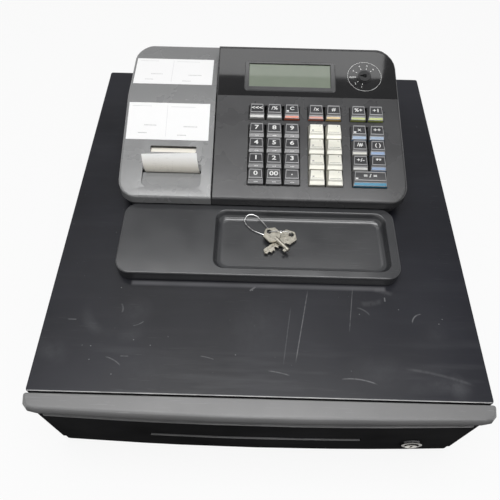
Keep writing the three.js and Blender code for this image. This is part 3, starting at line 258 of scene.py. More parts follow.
def orange_peel(graph):
    return graph.bump(graph.noise(PEEL_SCALE, 2, 0.4), PEEL_STRENGTH, PEEL_DEEP)


def coated_steel(name, colour, rough, wear, level=0.4):
    """Powder-coated steel with an orange-peel surface, patches of tone and fine scratches."""
    graph = Graph(name)
    cloud = graph.span(graph.noise(COAT_TONES, 4, 0.6), *COAT_TONE_RANGE)
    tone = graph.mix(cloud, *(shade(colour, factor) for factor in COAT_SHADES))
    marks = scratches(graph, COAT_SCRATCHES, COAT_MARK_LEAST)
    tone = graph.mix(graph.times(marks, COAT_MARK_SHARE * wear), tone, COAT_MARK_COLOUR)
    low, high = (rough + change for change in COAT_SHEEN)
    graph.set(Base_Color=tone, Roughness=graph.drift(COAT_SHEENS, low, high, detail=4, rough=0.6),
              Normal=graph.bump(marks, MARK_RELIEF, COAT_MARK_DEEP, orange_peel(graph)))
    graph.level(level)
    return graph.material


# The cabinet's top in millimetres: its height, how far below it the marks fade out, and its front edge
STEEL_TOP = 126
STEEL_TOP_FADE = (0.6, 0.2)
STEEL_FRONT = -205
# How wide the painted highlight along the top's front edge is
EDGE_HIGHLIGHT_WIDE = 1.4
# A painted band of light on the steel along the coin tray's front edge
LIGHT_BAND_X = (-128, 123)
LIGHT_BAND_Y = (-98.5, -91.5)
LIGHT_BAND_SOFT = 2.5

# Long marks on the steel top in millimetres: start, end, bow, half width, soft edge and strength
LONG_SCRATCHES = (
    ((46, -98), (32, -174), 0, 0.15, 0.5, 0.75), ((90, -94), (83, -142), 0, 0.1, 0.5, 0.5),
    ((29, -117), (21, -176), 0, 0.1, 0.6, 0.28), ((153, -121), (143, -131), -2.5, 0.25, 0.6, 0.7),
    ((72, -187), (104, -191), 2.2, 0.2, 0.6, 0.75), ((7, -181), (27, -185), 0.5, 0.15, 0.6, 0.55),
    ((-54, -169), (-41, -172), 0.4, 0.1, 0.5, 0.5), ((-139, -172), (-124, -180), 1.2, 0.15, 0.6, 0.6),
    ((-181, -136), (-172, -136), 0, 0.15, 0.5, 0.6), ((-119, -141), (-109, -136), -1, 0.15, 0.5, 0.5),
    ((-11, -101), (-5, -96), 0, 0.5, 0.6, 0.7), ((120, -104), (120, -109), 0, 0.4, 0.5, 0.7),
    ((-126, -171), (-118, -171), 0, 0.1, 0.5, 0.5), ((96, -112), (118, -108), -1, 1.2, 2.5, 0.14),
    ((92, -116), (104, -124), 1.5, 0.3, 0.8, 0.3), ((-133, -118), (-131, -128), 1.2, 0.3, 0.8, 0.35),
    ((110, -96), (129, -101), 0.5, 0.9, 2.2, 0.18), ((130, -176), (190, -190), 2, 0.3, 1.5, 0.2),
)
# Hazy marks left by wiping and handling, in the same form
SMEARS = (
    ((-167, -118), (-134, -152), -9, 1.2, 6, 0.3), ((-134, -152), (-106, -142), -3, 1.5, 7, 0.22),
    ((-133, -116), (-108, -141), 3, 5, 14, 0.2), ((-204, -150), (-170, -172), -8, 2, 8, 0.3),
    ((-188, -150), (-178, -184), 2, 2, 7, 0.22), ((125, -194), (192, -190), 1.5, 2, 7, 0.4),
    ((165, -182), (184, -201), 0, 2, 10, 0.6), ((-40, -130), (30, -160), 6, 12, 22, 0.18),
    ((70, -180), (150, -186), 3, 4, 14, 0.22), ((-140, -182), (-60, -186), 2, 4, 16, 0.16),
    ((150, -150), (178, -140), 4, 3, 12, 0.14),
)
# Small specks, and half the size of one
SPECKS = ((-154, -162), (-153, -175), (-116, -155), (-131, -188), (-22, -167), (-8, -100), (-136, -101),
          (132, -117), (94, -123), (172, -126), (-100, -160), (168, -131))
SPECK_HALF = 0.55
# The share of a mark's length over which each of its ends fades
MARK_FADE = 0.14
SMEAR_FADE = 0.45


def stroke(graph, x, y, start, end, bow, half, soft, fade=MARK_FADE):
    """How much a place lies on a bowed line from start to end, in millimetres."""
    length = math.dist(start, end)
    cos, sin = ((b - a) / length for a, b in zip(start, end))
    dx, dy = graph.minus(x, start[0] * MM), graph.minus(y, start[1] * MM)
    along = graph.math("ADD", graph.times(dx, cos / length / MM), graph.times(dy, sin / length / MM))
    across = graph.minus(graph.times(dy, cos), graph.times(dx, sin))
    if bow:
        sag = graph.times(graph.times(along, graph.minus(1.0, along)), 4 * bow * MM)
        across = graph.minus(across, sag)
    beside = graph.span(graph.math("ABSOLUTE", across), half * MM, (half + soft) * MM, 1, 0)
    ends = graph.span(graph.math("ABSOLUTE", graph.minus(along, 0.5)), 0.5 - fade, 0.5, 1, 0)
    return graph.times(beside, ends)


def box_mask(graph, x, y, x_range, y_range, soft):
    """One inside a rectangle in millimetres, with soft edges."""
    sides = []
    for value, (low, high) in ((x, x_range), (y, y_range)):
        middle, half = (low + high) / 2 * MM, (high - low) / 2 * MM
        off = graph.math("ABSOLUTE", graph.minus(value, middle))
        sides.append(graph.span(off, half - soft * MM, half, 1, 0))
    return graph.times(*sides)


# The cabinet's coat, the tones of what lies on it, and of its painted light
STEEL = (0.0085, 0.009, 0.0135)
STEEL_TONES = 5
STEEL_TONE_RANGE = (0.35, 0.7)
STEEL_SHADES = (0.7, 1.5)
STEEL_SHEEN = (0.28, 0.4)
STEEL_LEVEL = 0.36
HAZE_TONE = (0.085, 0.087, 0.095)
LIGHT_BAND_TONE = (0.1, 0.1, 0.108)
MARK_TONE = (0.34, 0.34, 0.35)
EDGE_HIGHLIGHT_TONE = (0.6, 0.6, 0.6)
# Noises as repeats a metre, detail and roughness, the part of their range that counts, and what they leave
WIPED_NOISE = (7, 3, 0.6)
WIPED_RANGE = (0.5, 0.72)
SMEAR_NOISE = (60, 4, 0.7)
SMEAR_RANGE = (0.3, 0.65)
SMEAR_LEAST = 0.25
BREAK_NOISE = (240, 3, 0.6)
BREAK_RANGE = (0.3, 0.52)
BREAK_LEAST = 0.35
EDGE_NOISE = (60, 3, 0.6)
EDGE_RANGE = (0.3, 0.6)
EDGE_LEAST = 0.6
STEEL_DUST = (300, 2, 0.5)
STEEL_DUST_RANGE = (0.76, 0.78)
# The painted band of light: how often its strength changes a metre, and its least strength
LIGHT_BAND_TONES = 25
LIGHT_BAND_LEAST = 0.75
# The wiped haze is drawn out along its direction in radians, and grows between two places in millimetres
WIPED_STRETCH = (1, 9, 1)
WIPED_TURN = 0.06
WIPED_Y = (-130, -200)
WIPED_LEAST = 0.15
# How strongly each kind of mark shows, and how few of the fine scratches do
WIPED_SHARE = 0.35
MARK_SHARE = 0.5
SPECK_SHARE = 0.9
FINE_SHARE = 0.12
DUST_SHARE = 0.3
FINE_LEAST = 0.7


def steel_haze(graph, x, y):
    """Wipe marks that grow towards the front, and the hazy smears."""
    wiped = graph.noise(*WIPED_NOISE, graph.stretch(WIPED_STRETCH, (0, 0, WIPED_TURN)))
    growing = graph.span(y, *(place * MM for place in WIPED_Y), WIPED_LEAST, 1)
    wiped = graph.times(graph.span(wiped, *WIPED_RANGE), growing)
    smears = [graph.times(stroke(graph, x, y, *shape, SMEAR_FADE), strength) for *shape, strength in SMEARS]
    patchy = graph.span(graph.noise(*SMEAR_NOISE), *SMEAR_RANGE, SMEAR_LEAST, 1)
    return graph.most([graph.times(wiped, WIPED_SHARE), graph.times(graph.most(smears), patchy)])


def steel_marks(graph, x, y):
    """Long scratches, specks, fine scratches and dust."""
    broken = graph.span(graph.noise(*BREAK_NOISE), *BREAK_RANGE, BREAK_LEAST, 1)
    lines = [graph.times(stroke(graph, x, y, *shape), strength) for *shape, strength in LONG_SCRATCHES]
    dots = [stroke(graph, x, y, (a - SPECK_HALF, b), (a + SPECK_HALF, b), 0, SPECK_HALF / 2, SPECK_HALF / 2)
            for a, b in SPECKS]
    fine = scratches(graph, FINE_SCRATCHES, FINE_LEAST)
    dust = graph.span(graph.noise(*STEEL_DUST), *STEEL_DUST_RANGE)
    return graph.most([graph.times(graph.most(lines), broken), graph.times(graph.most(dots), SPECK_SHARE),
                       graph.times(fine, FINE_SHARE), graph.times(dust, DUST_SHARE)])


def steel_edge(graph, y, z):
    """A painted highlight: the bright line along the top's front edge."""
    front = graph.span(y, (STEEL_FRONT + EDGE_HIGHLIGHT_WIDE) * MM, (STEEL_FRONT + EDGE_HIGHLIGHT_WIDE / 2) * MM)
    upper = graph.span(z, (STEEL_TOP - EDGE_HIGHLIGHT_WIDE) * MM, (STEEL_TOP - EDGE_HIGHLIGHT_WIDE / 2) * MM)
    broken = graph.span(graph.noise(*EDGE_NOISE), *EDGE_RANGE, EDGE_LEAST, 1)
    return graph.times(graph.times(front, upper), broken)


def worn_steel():
    """The cabinet's coat: slate black, wiped and handled, with the long scratches of its top."""
    graph = Graph("cabinet_coat")
    x, y, z = graph.axes()
    on_top = graph.span(z, *((STEEL_TOP - below) * MM for below in STEEL_TOP_FADE))
    cloud = graph.span(graph.noise(STEEL_TONES, 4, 0.6), *STEEL_TONE_RANGE)
    tone = graph.mix(cloud, *(shade(STEEL, factor) for factor in STEEL_SHADES))
    tone = graph.mix(graph.times(steel_haze(graph, x, y), on_top), tone, HAZE_TONE)
    # Painted light: a lighter band on the top in front of the coin tray
    light_band = graph.times(box_mask(graph, x, y, LIGHT_BAND_X, LIGHT_BAND_Y, LIGHT_BAND_SOFT), graph.drift(LIGHT_BAND_TONES, LIGHT_BAND_LEAST, 1))
    tone = graph.mix(graph.times(light_band, on_top), tone, LIGHT_BAND_TONE)
    marks = graph.times(graph.times(steel_marks(graph, x, y), MARK_SHARE), on_top)
    tone = graph.mix(marks, tone, MARK_TONE)
    # Painted highlight along the top's front edge
    tone = graph.mix(steel_edge(graph, y, z), tone, EDGE_HIGHLIGHT_TONE)
    graph.set(Base_Color=tone, Roughness=graph.drift(COAT_SHEENS, *STEEL_SHEEN, detail=4, rough=0.6),
              Normal=graph.bump(marks, MARK_RELIEF, STEEL_MARK_DEEP, orange_peel(graph)))
    graph.level(STEEL_LEVEL)
    return graph.material


# Metal: how often its patches, sheen and fine grain change a metre, and how far they go
METAL_PATCHES = 260
METAL_PATCH_RANGE = (0.42, 0.68)
METAL_PATCH_SHADE = 0.35
METAL_SHEENS = 300
METAL_SHEEN = (-0.06, 0.16)
METAL_GRAIN = 900
METAL_RELIEF = 0.25
METAL_DEEP = 0.03


def metal(name, colour, rough, dirt=0.3):
    """Plated or bare metal with a fine surface and darker, duller patches."""
    graph = Graph(name)
    patches = graph.span(graph.noise(METAL_PATCHES, 4, 0.65), *METAL_PATCH_RANGE)
    tone = graph.mix(graph.times(patches, dirt), colour, shade(colour, METAL_PATCH_SHADE))
    low, high = (rough + change for change in METAL_SHEEN)
    graph.set(Base_Color=tone, Metallic=1.0, Roughness=graph.drift(METAL_SHEENS, low, high),
              Normal=graph.bump(graph.noise(METAL_GRAIN, 2), METAL_RELIEF, METAL_DEEP))
    return graph.material


# Polished plastic: its wipe marks, and the haze and specks of dust on it
WIPE_SCALE = 9
WIPE_STRETCH = (1, 4, 4)
WIPE_TURN = 0.5
WIPE_SHADE = 1.25
WIPE_TONE_RANGE = (0.4, 0.7)
WIPE_SHEEN_RANGE = (0.35, 0.7)
GLOSS_HAZE = 26
GLOSS_HAZE_RANGE = (0.45, 0.75)
GLOSS_HAZE_TONE = (0.2, 0.19, 0.18)
GLOSS_SPECKS = 600
GLOSS_SPECK_RANGE = (0.7, 0.75)
GLOSS_SPECK_TONE = (0.35, 0.34, 0.33)
SPECKS_TO_HAZE = 3
GLOSS_WAVES = 60
GLOSS_RELIEF = 0.02
GLOSS_DEEP = 0.2


def gloss(name, colour, rough, smear=0.12, level=0.5, dust=0.0):
    """Polished plastic with faint wipe marks and, where asked, settled dust."""
    graph = Graph(name)
    wipes = graph.noise(WIPE_SCALE, 4, 0.6, graph.stretch(WIPE_STRETCH, (0, 0, WIPE_TURN)))
    tone = graph.mix(graph.span(wipes, *WIPE_TONE_RANGE), colour, shade(colour, WIPE_SHADE))
    if dust:
        haze = graph.span(graph.noise(GLOSS_HAZE, 5, 0.65), *GLOSS_HAZE_RANGE, 0, dust)
        tone = graph.mix(haze, tone, GLOSS_HAZE_TONE)
        specks = graph.span(graph.noise(GLOSS_SPECKS, 2, 0.6), *GLOSS_SPECK_RANGE, 0, SPECKS_TO_HAZE * dust)
        tone = graph.mix(specks, tone, GLOSS_SPECK_TONE)
    graph.set(Base_Color=tone, Roughness=graph.span(wipes, *WIPE_SHEEN_RANGE, rough, rough + smear),
              Normal=graph.bump(graph.noise(GLOSS_WAVES, 2), GLOSS_RELIEF, GLOSS_DEEP))
    graph.level(level)
    return graph.material


# Paper: its fibres and slow tone in repeats a metre
FIBRE_SCALE = 900
PAPER_TONES = 40
PAPER_ROUGH = 0.75
PAPER_RELIEF = 0.2
PAPER_DEEP = 0.03


def paper(name, colour, soft=0.03):
    """Uncoated paper with a slow change of tone by the share soft."""
    graph = Graph(name)
    tone = graph.mix(graph.drift(PAPER_TONES), shade(colour, 1 - soft), colour)
    graph.set(Base_Color=tone, Roughness=PAPER_ROUGH,
              Normal=graph.bump(graph.noise(FIBRE_SCALE, 4, 0.7), PAPER_RELIEF, PAPER_DEEP))
    return graph.material


# The receipt yellows towards its foot, by height in millimetres
RECEIPT_FOOT = 164
RECEIPT_TOP = 176
RECEIPT_WHITE = (0.98, 0.98, 0.97)
RECEIPT_CREAM = (0.9, 0.86, 0.77)
RECEIPT_ROUGH = 0.5
RECEIPT_RELIEF = 0.15
RECEIPT_DEEP = 0.02
# Its faint rows of print: rows a metre, the part of each row that is printed, its words and its tone
ROWS = 420
ROW_RANGE = (0.72, 0.8)
WORD_STRETCH = (1, 0.05, 0.4)
WORD_RANGE = (0.56, 0.6)
FADED_TONES = 30
FADED_RANGE = (0.45, 0.65)
ROW_SHARE = 0.2
ROW_TONE = (0.3, 0.28, 0.26)


def receipt_stock():
    """Thermal paper: white, cream at its foot, with faint short rows of print."""
    graph = Graph("receipt_stock")
    x, y, z = graph.axes()
    cream = graph.span(z, RECEIPT_FOOT * MM, RECEIPT_TOP * MM, 1, 0)
    tone = graph.mix(cream, RECEIPT_WHITE, RECEIPT_CREAM)
    rows = graph.span(graph.math("FRACT", graph.times(z, ROWS)), *ROW_RANGE)
    words = graph.span(graph.noise(ROWS, 1, 0.3, graph.stretch(WORD_STRETCH)), *WORD_RANGE)
    faint = graph.span(graph.noise(FADED_TONES, 2), *FADED_RANGE, 0, ROW_SHARE)
    tone = graph.mix(graph.times(graph.times(rows, words), faint), tone, ROW_TONE)
    graph.set(Base_Color=tone, Roughness=RECEIPT_ROUGH,
              Normal=graph.bump(graph.noise(FIBRE_SCALE, 4, 0.7), RECEIPT_RELIEF, RECEIPT_DEEP))
    return graph.material


# Prints: the noise of their cover, the part of its range that counts, and how far they darken
INK_NOISE = (700, 3, 0.6)
INK_RANGE = (0.25, 0.8)
INK_SHADE = 0.85
INK_ROUGH = 0.6


def ink(name, colour):
    """Matt print that covers a little unevenly."""
    graph = Graph(name)
    faint = graph.span(graph.noise(*INK_NOISE), *INK_RANGE)
    graph.set(Base_Color=graph.mix(faint, shade(colour, INK_SHADE), colour), Roughness=INK_ROUGH)
    return graph.material


# The display's two tones, its sheen and its clear coat
DISPLAY_TONES = 50
DISPLAY_COLOURS = ((0.155, 0.187, 0.138), (0.17, 0.2, 0.15))
DISPLAY_ROUGH = 0.35
DISPLAY_COAT = 0.55
DISPLAY_COAT_ROUGH = 0.03


def display_look():
    """The display under its window: grey-green, with a slow change of tone under a clear coat."""
    graph = Graph("display_grey_green")
    tone = graph.mix(graph.drift(DISPLAY_TONES, detail=2), *DISPLAY_COLOURS)
    graph.set(Base_Color=tone, Roughness=DISPLAY_ROUGH, Coat_Weight=DISPLAY_COAT,
              Coat_Roughness=DISPLAY_COAT_ROUGH)
    return graph.material


LOOKS = {
    "steel": worn_steel(),
    "base": coated_steel("base_coat", (0.014, 0.0145, 0.016), rough=0.45, wear=0.4),
    "drawer": coated_steel("drawer_coat", (0.027, 0.027, 0.028), rough=0.4, wear=0.35, level=0.0),
    # A lighter copy of the drawer's coat: painted highlight on the drawer front's upward faces
    "drawer_top_highlight": coated_steel("drawer_highlight_coat", (0.24, 0.24, 0.242), rough=0.3, wear=0.35, level=0.5),
    "nosing": moulded("nosing_plastic", (0.2, 0.2, 0.201), rough=0.36, grain=1300, spread=0.06, dust=0.15,
                      marks=0.12),
    # A darker copy of the nosing plastic that reflects nothing: painted shade on its front faces
    "nosing_facing_shade": moulded("nosing_painted_shade", (0.19, 0.19, 0.191), grain=1300, spread=0.06, level=0.0),
    "lock": metal("lock_nickel", (0.5, 0.48, 0.44), rough=0.22),
    "collar": metal("collar_nickel", (0.17, 0.16, 0.14), rough=0.22),
    "zinc": metal("zinc_plate", (0.56, 0.56, 0.55), rough=0.32),
    "copper": metal("coil_winding", (0.45, 0.17, 0.06), rough=0.35, dirt=0.15),
    # Near black: painted shade on the walls of openings and in the screws' crosses
    "dark": moulded("painted_shade_black", (0.012, 0.012, 0.013)),
    "under": moulded("base_plastic", (0.02, 0.02, 0.022)),
    "clip": moulded("clip_plastic", (0.05, 0.05, 0.052), rough=0.42),
    "till": moulded("till_plastic", (0.028, 0.028, 0.03), grain=1100, depth=0.04, spread=0.12, dust=0.25),
    "case": moulded("case_plastic", (0.038, 0.038, 0.04), rough=0.27, grain=1500, depth=0.04, spread=0.07,
                    dust=0.15, marks=0.05),
    "cover": moulded("cover_plastic", (0.214, 0.216, 0.218), rough=0.27, grain=1500, depth=0.04, spread=0.045,
                     level=0.85, dust=0.08, marks=0.04),
    "plate": moulded("key_plate", (0.01, 0.011, 0.0105), rough=0.6, level=0.2),
    "rubber": moulded("rubber_black", (0.016, 0.016, 0.016), rough=0.75, grain=700, depth=0.06, level=0.3),
    "tray": moulded("tray_plastic", (0.035, 0.036, 0.039), rough=0.2, grain=1500, depth=0.01, spread=0.09,
                    level=0.8, dust=0.25, marks=0.2),
    "panel": gloss("panel_gloss", (0.006, 0.006, 0.007), rough=0.03, smear=0.03, dust=0.02),
    "bezel": gloss("bezel_gloss", (0.052, 0.052, 0.054), rough=0.14, smear=0.06, level=0.6, dust=0.03),
    "switch": gloss("switch_black", (0.012, 0.012, 0.013), rough=0.2),
    "display": display_look(),
    "paper": paper("paper_stock", (0.86, 0.85, 0.8)),
    "label": paper("label_stock", (0.95, 0.95, 0.95), soft=0.01),
    "receipt": receipt_stock(),
    "key_metal": metal("key_nickel", (0.5, 0.475, 0.41), rough=0.3, dirt=0.5),
    "wire": metal("ring_wire", (0.62, 0.62, 0.62), rough=0.22, dirt=0.1),
    # Clear caps: the pale edge and the lighter sides are painted highlights and painted light in the clear
    # plastic
    "cap": gloss("cap_edge_highlight", (0.29, 0.29, 0.295), rough=0.14, smear=0.08, dust=0.1),
    "cap_lit_side": gloss("cap_lit_side", (0.13, 0.13, 0.134), rough=0.16, smear=0.08, dust=0.1),
    "cap_face": gloss("cap_face", (0.046, 0.046, 0.049), rough=0.1, smear=0.08, dust=0.03),
    "cap_ledge": gloss("cap_ledge", (0.13, 0.13, 0.133), rough=0.14, smear=0.08, dust=0.1),
    "cream": gloss("cap_cream", (0.78, 0.77, 0.68), rough=0.2, smear=0.1),
    # Cream caps: a lighter cream on the edges as painted highlight, a darker cream on the sides as painted
    # shade
    "cream_highlight": gloss("cap_cream_edge", (0.8, 0.79, 0.72), rough=0.16, smear=0.1),
    "cream_shaded": gloss("cap_cream_side", (0.55, 0.54, 0.48), rough=0.16, smear=0.1),
    "white_ink": ink("ink_white", (0.85, 0.85, 0.84)),
    "grey_ink": ink("ink_grey", (0.42, 0.42, 0.42)),
    "pale_ink": ink("ink_pale", (0.72, 0.72, 0.73)),
    "black_ink": ink("ink_black", (0.05, 0.05, 0.052)),
}
STRIP_COLOURS = {
    "white": (0.5, 0.5, 0.48), "red": (0.6, 0.13, 0.06), "salmon": (0.5, 0.18, 0.13),
    "amber": (0.58, 0.4, 0.15), "lime": (0.36, 0.42, 0.1), "sky": (0.19, 0.28, 0.41),
    "blue": (0.16, 0.26, 0.44), "cyan": (0.05, 0.24, 0.38), "cream": (0.52, 0.51, 0.45),
}
for kind, colour in STRIP_COLOURS.items():
    LOOKS[f"strip_{kind}"] = gloss(f"strip_{kind}", colour, rough=0.16, smear=0.08, dust=0.04)

# Meshes: how near points are joined in millimetres, and angles in degrees of a flat face and a sharp edge
JOIN_WITHIN = 0.002
FLAT_WITHIN = 0.6
SHARP = 38
NORMAL_WEIGHT = 80
# Prints: how thick they are and how far they sink in, in millimetres, and how round their letters are
INK_THICK = 0.04
INK_SINK = 0.01
LETTER_STEPS = 3
RING_STEPS = 72
# How wide the edges of each dressed node are rounded, in millimetres
EDGE_ROUND = {
    "cabinet_cover": 0.5, "cabinet_base": 0.3, "front_trim": 1.8, "drawer_body": 0.3, "drawer_front": 0.4,
    "drawer_lock": 0.25, "drawer_latch": 0.3, "till_tray": 0.6, "register_base": 0.4, "register_case": 0.35,
    "printer_cover": 0.35, "key_frame": 0.2, "mode_switch": 0.3, "printer_frame": 0.2, "platen_roller": 0.3,
    "paper_roll": 0.2, "receipt_paper": 0.05, "display_glass": 0.1, "display_panel": 0.25, "coin_tray": 0.4,
    "drawer_key": 0.25, "mode_key": 0.25, "key_ring": 0.02, "note_clip_1": 0.4, "note_clip_2": 0.4,
    "note_clip_3": 0.4,
}


def mesh_object(name, bm, body, looks, replaces=()):
    """A piece of the object from bm, riding on a body, with its looks in their order."""
    mesh = bpy.data.meshes.new(name)
    bm.to_mesh(mesh)
    bm.free()
    for look in looks:
        mesh.materials.append(LOOKS[look])
    piece = bpy.data.objects.new(name, mesh)
    scene.collection.objects.link(piece)
    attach(piece, body)
    if replaces:
        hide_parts(*replaces)
    return piece


def node_mesh(node):
    """A CAD node's mesh with its triangles joined back into flat faces."""
    bm = bmesh.new()
    bm.from_mesh(NODES[node].data)
    bmesh.ops.remove_doubles(bm, verts=bm.verts, dist=JOIN_WITHIN * MM)
    bmesh.ops.dissolve_limit(bm, angle_limit=math.radians(FLAT_WITHIN), verts=bm.verts, edges=bm.edges)
    bm.normal_update()
    return bm


def smooth(piece, sharp=SHARP):
    piece.data.shade_smooth()
    piece.data.set_sharp_from_angle(angle=math.radians(sharp))


def soften(piece, width, segments=2):
    """Small roundings on the sharp edges, with flat faces that stay flat."""
    smooth(piece)
    bevel = piece.modifiers.new("edges", "BEVEL")
    bevel.width = width * MM
    bevel.segments = segments
    bevel.limit_method = "ANGLE"
    bevel.angle_limit = math.radians(SHARP)
    bevel.use_clamp_overlap = True
    normals = piece.modifiers.new("normals", "WEIGHTED_NORMAL")
    normals.keep_sharp = True
    normals.weight = NORMAL_WEIGHT


def dress(node, look, choose=None, looks=(), segments=2):
    """Stands for a CAD node: softened edges, and faces painted by choose where given."""
    bm = node_mesh(node)
    if choose:
        for face in bm.faces:
            face.material_index = choose(face)
    piece = mesh_object(f"{node}_skin", bm, BODY_OF[node], (look, *looks), (node,))
    soften(piece, EDGE_ROUND[node], segments)


def plate(bm, across, along, index, thick, place):
    """A thin flat mark on a surface, between two places across it and two along it, in millimetres."""
    made = bmesh.ops.create_cube(bm, size=1)["verts"]
    size = Vector((across[1] - across[0], along[1] - along[0], thick))
    middle = Vector((sum(across), sum(along), thick)) / 2
    for vert in made:
        vert.co = place @ (Vector(a * b for a, b in zip(vert.co, size)) + middle)
    for face in {face for vert in made for face in vert.link_faces}:
        face.material_index = index


def add_text(bm, words, size, place, index, wide, bold=0.0):
    """Adds the words to bm, centred on place, with their faces in material slot index."""
    curve = bpy.data.curves.new("words", "FONT")
    curve.body = words
    curve.size = size
    curve.extrude = INK_THICK / 2
    curve.offset = bold
    curve.align_x = "CENTER"
    curve.align_y = "CENTER"
    curve.resolution_u = LETTER_STEPS
    holder = bpy.data.objects.new("words", curve)
    scene.collection.objects.link(holder)
    mesh = bpy.data.meshes.new_from_object(holder)
    bpy.data.objects.remove(holder)
    bpy.data.curves.remove(curve)
    mesh.transform(place @ Matrix.Diagonal((wide, 1, 1, 1)))
    mesh.materials.clear()
    before = set(bm.faces)
    bm.from_mesh(mesh)
    for face in set(bm.faces) - before:
        face.material_index = index
    bpy.data.meshes.remove(mesh)


def ring_plate(bm, radius, wide, thick, place, steps=RING_STEPS):
    """A thin flat ring that stands on a surface, about place."""
    loops = []
    for r, t in ((radius, 0), (radius, thick), (radius - wide, thick), (radius - wide, 0)):
        around = [2 * math.pi * step / steps for step in range(steps)]
        points = [Vector((r * math.cos(turn), r * math.sin(turn), t)) for turn in around]
        loops.append([bm.verts.new(place @ point) for point in points])
    for low, high in zip(loops, loops[1:] + loops[:1]):
        for step in range(steps):
            after = (step + 1) % steps
            bm.faces.new((low[step], low[after], high[after], high[step]))


# Keys: sizes in millimetres on the deck, with the key's middle at zero
KEY_HIGH = 6.2
KEY_ROUND = 0.5
KEY_ROUND_SEGMENTS = 3
KEY_PROFILE = 0.6
SKIRT_TOP = 1.0
FACE_RIM = 0.45
FACE_BACK_RIM = 0.7
BACK_WITHIN = 0.1
LEDGE_RIM = 0.3
STRIP_FROM_FRONT = 2.5
# Angles in degrees: an edge that is rounded, a crease that stays sharp in the shading, and the ledge's slope
KEY_EDGE = 25
KEY_SHARP = 30
LEDGE_SLOPE = 13.4
# How a face's normal tells the side of a cap, and how near to the top the face lies
NORMAL_TOP = 0.995
NORMAL_LEDGE = 0.9
NORMAL_RISER_Y = -0.5
NORMAL_RISER_Z = 0.4
NORMAL_FRONT = -0.9
TOP_WITHIN = 1
# A cap's material slots
SIDE, FACE, EDGE, FRONT, LEDGE, PRINT, SQUARE = range(7)

# Prints on the keys: sizes, widths as shares, boldness, and marks as places across and along
DIGIT = {"size": 6.6, "wide": 1.4, "bold": 0.16}
SIGN = {"size": 5.6, "wide": 1.25, "bold": 0.12}
POINT_MARK = ((-0.7, 0.7), (-1.2, 0))
BLOCK_WIDE = 2.6
BLOCK_ALONG = (-3.9, -2.2)
LEDGE_MARKS = (-1.6, -0.5, 0.6, 1.5)
LEDGE_MARK_WIDE = 0.8
LEDGE_MARK_ALONG = (-0.35, 0.25)
ITEM_LINE = ((-5.6, 5.6), (-4.1, -3.75))
ITEM_NUMBER = {"size": 2.2, "wide": 1.1}
ITEM_NUMBER_AT = (3.6, 3.4, 0)
ITEM_SQUARE = ((-4.9, -2.9), (-2.9, -1.3))

# Which keys have a colour on their ledge, on which it is as long as the ledge, and what each key says
STRIPS = {
    "key_top_1": "white", "key_top_2": "white", "key_top_3": "red", "key_top_4": "salmon",
    "key_top_5": "amber", "key_top_6": "lime", "key_top_7": "lime", "key_function_1": "white",
    "key_function_2": "blue", "key_function_3": "cream", "key_function_4": "blue",
    "key_function_5": "sky", "key_function_6": "sky", "key_wide": "cyan",
}
FULL_STRIPS = ("key_function_2", "key_function_4", "key_function_5", "key_function_6", "key_wide")
SIGNS = {
    "key_top_1": "<<<", "key_top_2": "/%", "key_top_3": "C", "key_top_4": "/x", "key_top_5": "#",
    "key_top_6": "%+", "key_top_7": "+1", "key_function_1": "+/-", "key_function_2": "**",
    "key_function_3": "/#", "key_function_4": "( )", "key_function_5": "x", "key_function_6": "++",
    "key_wide": "= / =",
}
# The left edge of the white block on three keys
BLOCKS = {"key_top_3": -6, "key_function_5": -6, "key_wide": -15.4}


def side_of(face):
    """Which side of a key a face is, told by its normal and height on the key."""
    normal, high = face.normal, face.calc_center_median().z
    if normal.z > NORMAL_TOP and high > KEY_HIGH - TOP_WITHIN:
        return "top"
    if high < 0:
        return "side"
    if normal.z > NORMAL_LEDGE and normal.y < 0:
        return "ledge"
    if normal.y < NORMAL_RISER_Y and normal.z > NORMAL_RISER_Z:
        return "riser"
    return "front" if normal.y < NORMAL_FRONT else "side"


def rim(bm, centre, inner, outer, wide):
    """Insets the face nearest to centre and returns its middle face."""
    face = min(bm.faces, key=lambda f: (f.calc_center_median() - centre).length)
    for ring in bmesh.ops.inset_region(bm, faces=[face], thickness=wide, depth=0)["faces"]:
        ring.material_index = outer
    face.material_index = inner
    return face


def round_edges(bm):
    """Rounds the sharp edges of a cap above its skirt."""
    edges = [e for e in bm.edges if e.is_manifold and e.calc_face_angle(0) > math.radians(KEY_EDGE)
             and all(v.co.z > SKIRT_TOP for v in e.verts)]
    bmesh.ops.bevel(bm, geom=edges, offset=KEY_ROUND, segments=KEY_ROUND_SEGMENTS, profile=KEY_PROFILE,
                    affect="EDGES", clamp_overlap=True, material=EDGE)


def shorten_strip(bm, face):
    """Keeps the colour to the front part of the ledge."""
    cut = min(v.co.y for v in face.verts) + STRIP_FROM_FRONT - KEY_ROUND
    parts = [face, *face.edges, *face.verts]
    bmesh.ops.bisect_plane(bm, geom=parts, plane_co=(0, cut, 0), plane_no=(0, 1, 0))
    for part in bm.faces:
        if part.material_index == FRONT and part.calc_center_median().y > cut:
            part.material_index = LEDGE


def print_item(bm, node, top):
    """A cream key: a line along its face, a small number and, on the left column, a small square."""
    number = int(node[-1])
    plate(bm, *ITEM_LINE, PRINT, INK_THICK, top)
    add_text(bm, str(number), place=top @ Matrix.Translation(ITEM_NUMBER_AT), index=PRINT, **ITEM_NUMBER)
    if number % 2:
        plate(bm, *ITEM_SQUARE, SQUARE, INK_THICK, top)


def print_clear(bm, node, top, ledge):
    """A clear key's number or sign, its white block and the small marks on its ledge."""
    if node.startswith("key_digit"):
        add_text(bm, node.split("_")[-1], place=top, index=PRINT, **DIGIT)
    elif node == "key_point":
        plate(bm, *POINT_MARK, PRINT, INK_THICK, top)
    else:
        add_text(bm, SIGNS[node], place=top, index=PRINT, **SIGN)
    if node in BLOCKS:
        plate(bm, (BLOCKS[node], BLOCKS[node] + BLOCK_WIDE), BLOCK_ALONG, PRINT, INK_THICK, top)
    if node not in STRIPS:
        for left in LEDGE_MARKS:
            plate(bm, (left, left + LEDGE_MARK_WIDE), LEDGE_MARK_ALONG, PRINT, INK_THICK, ledge)


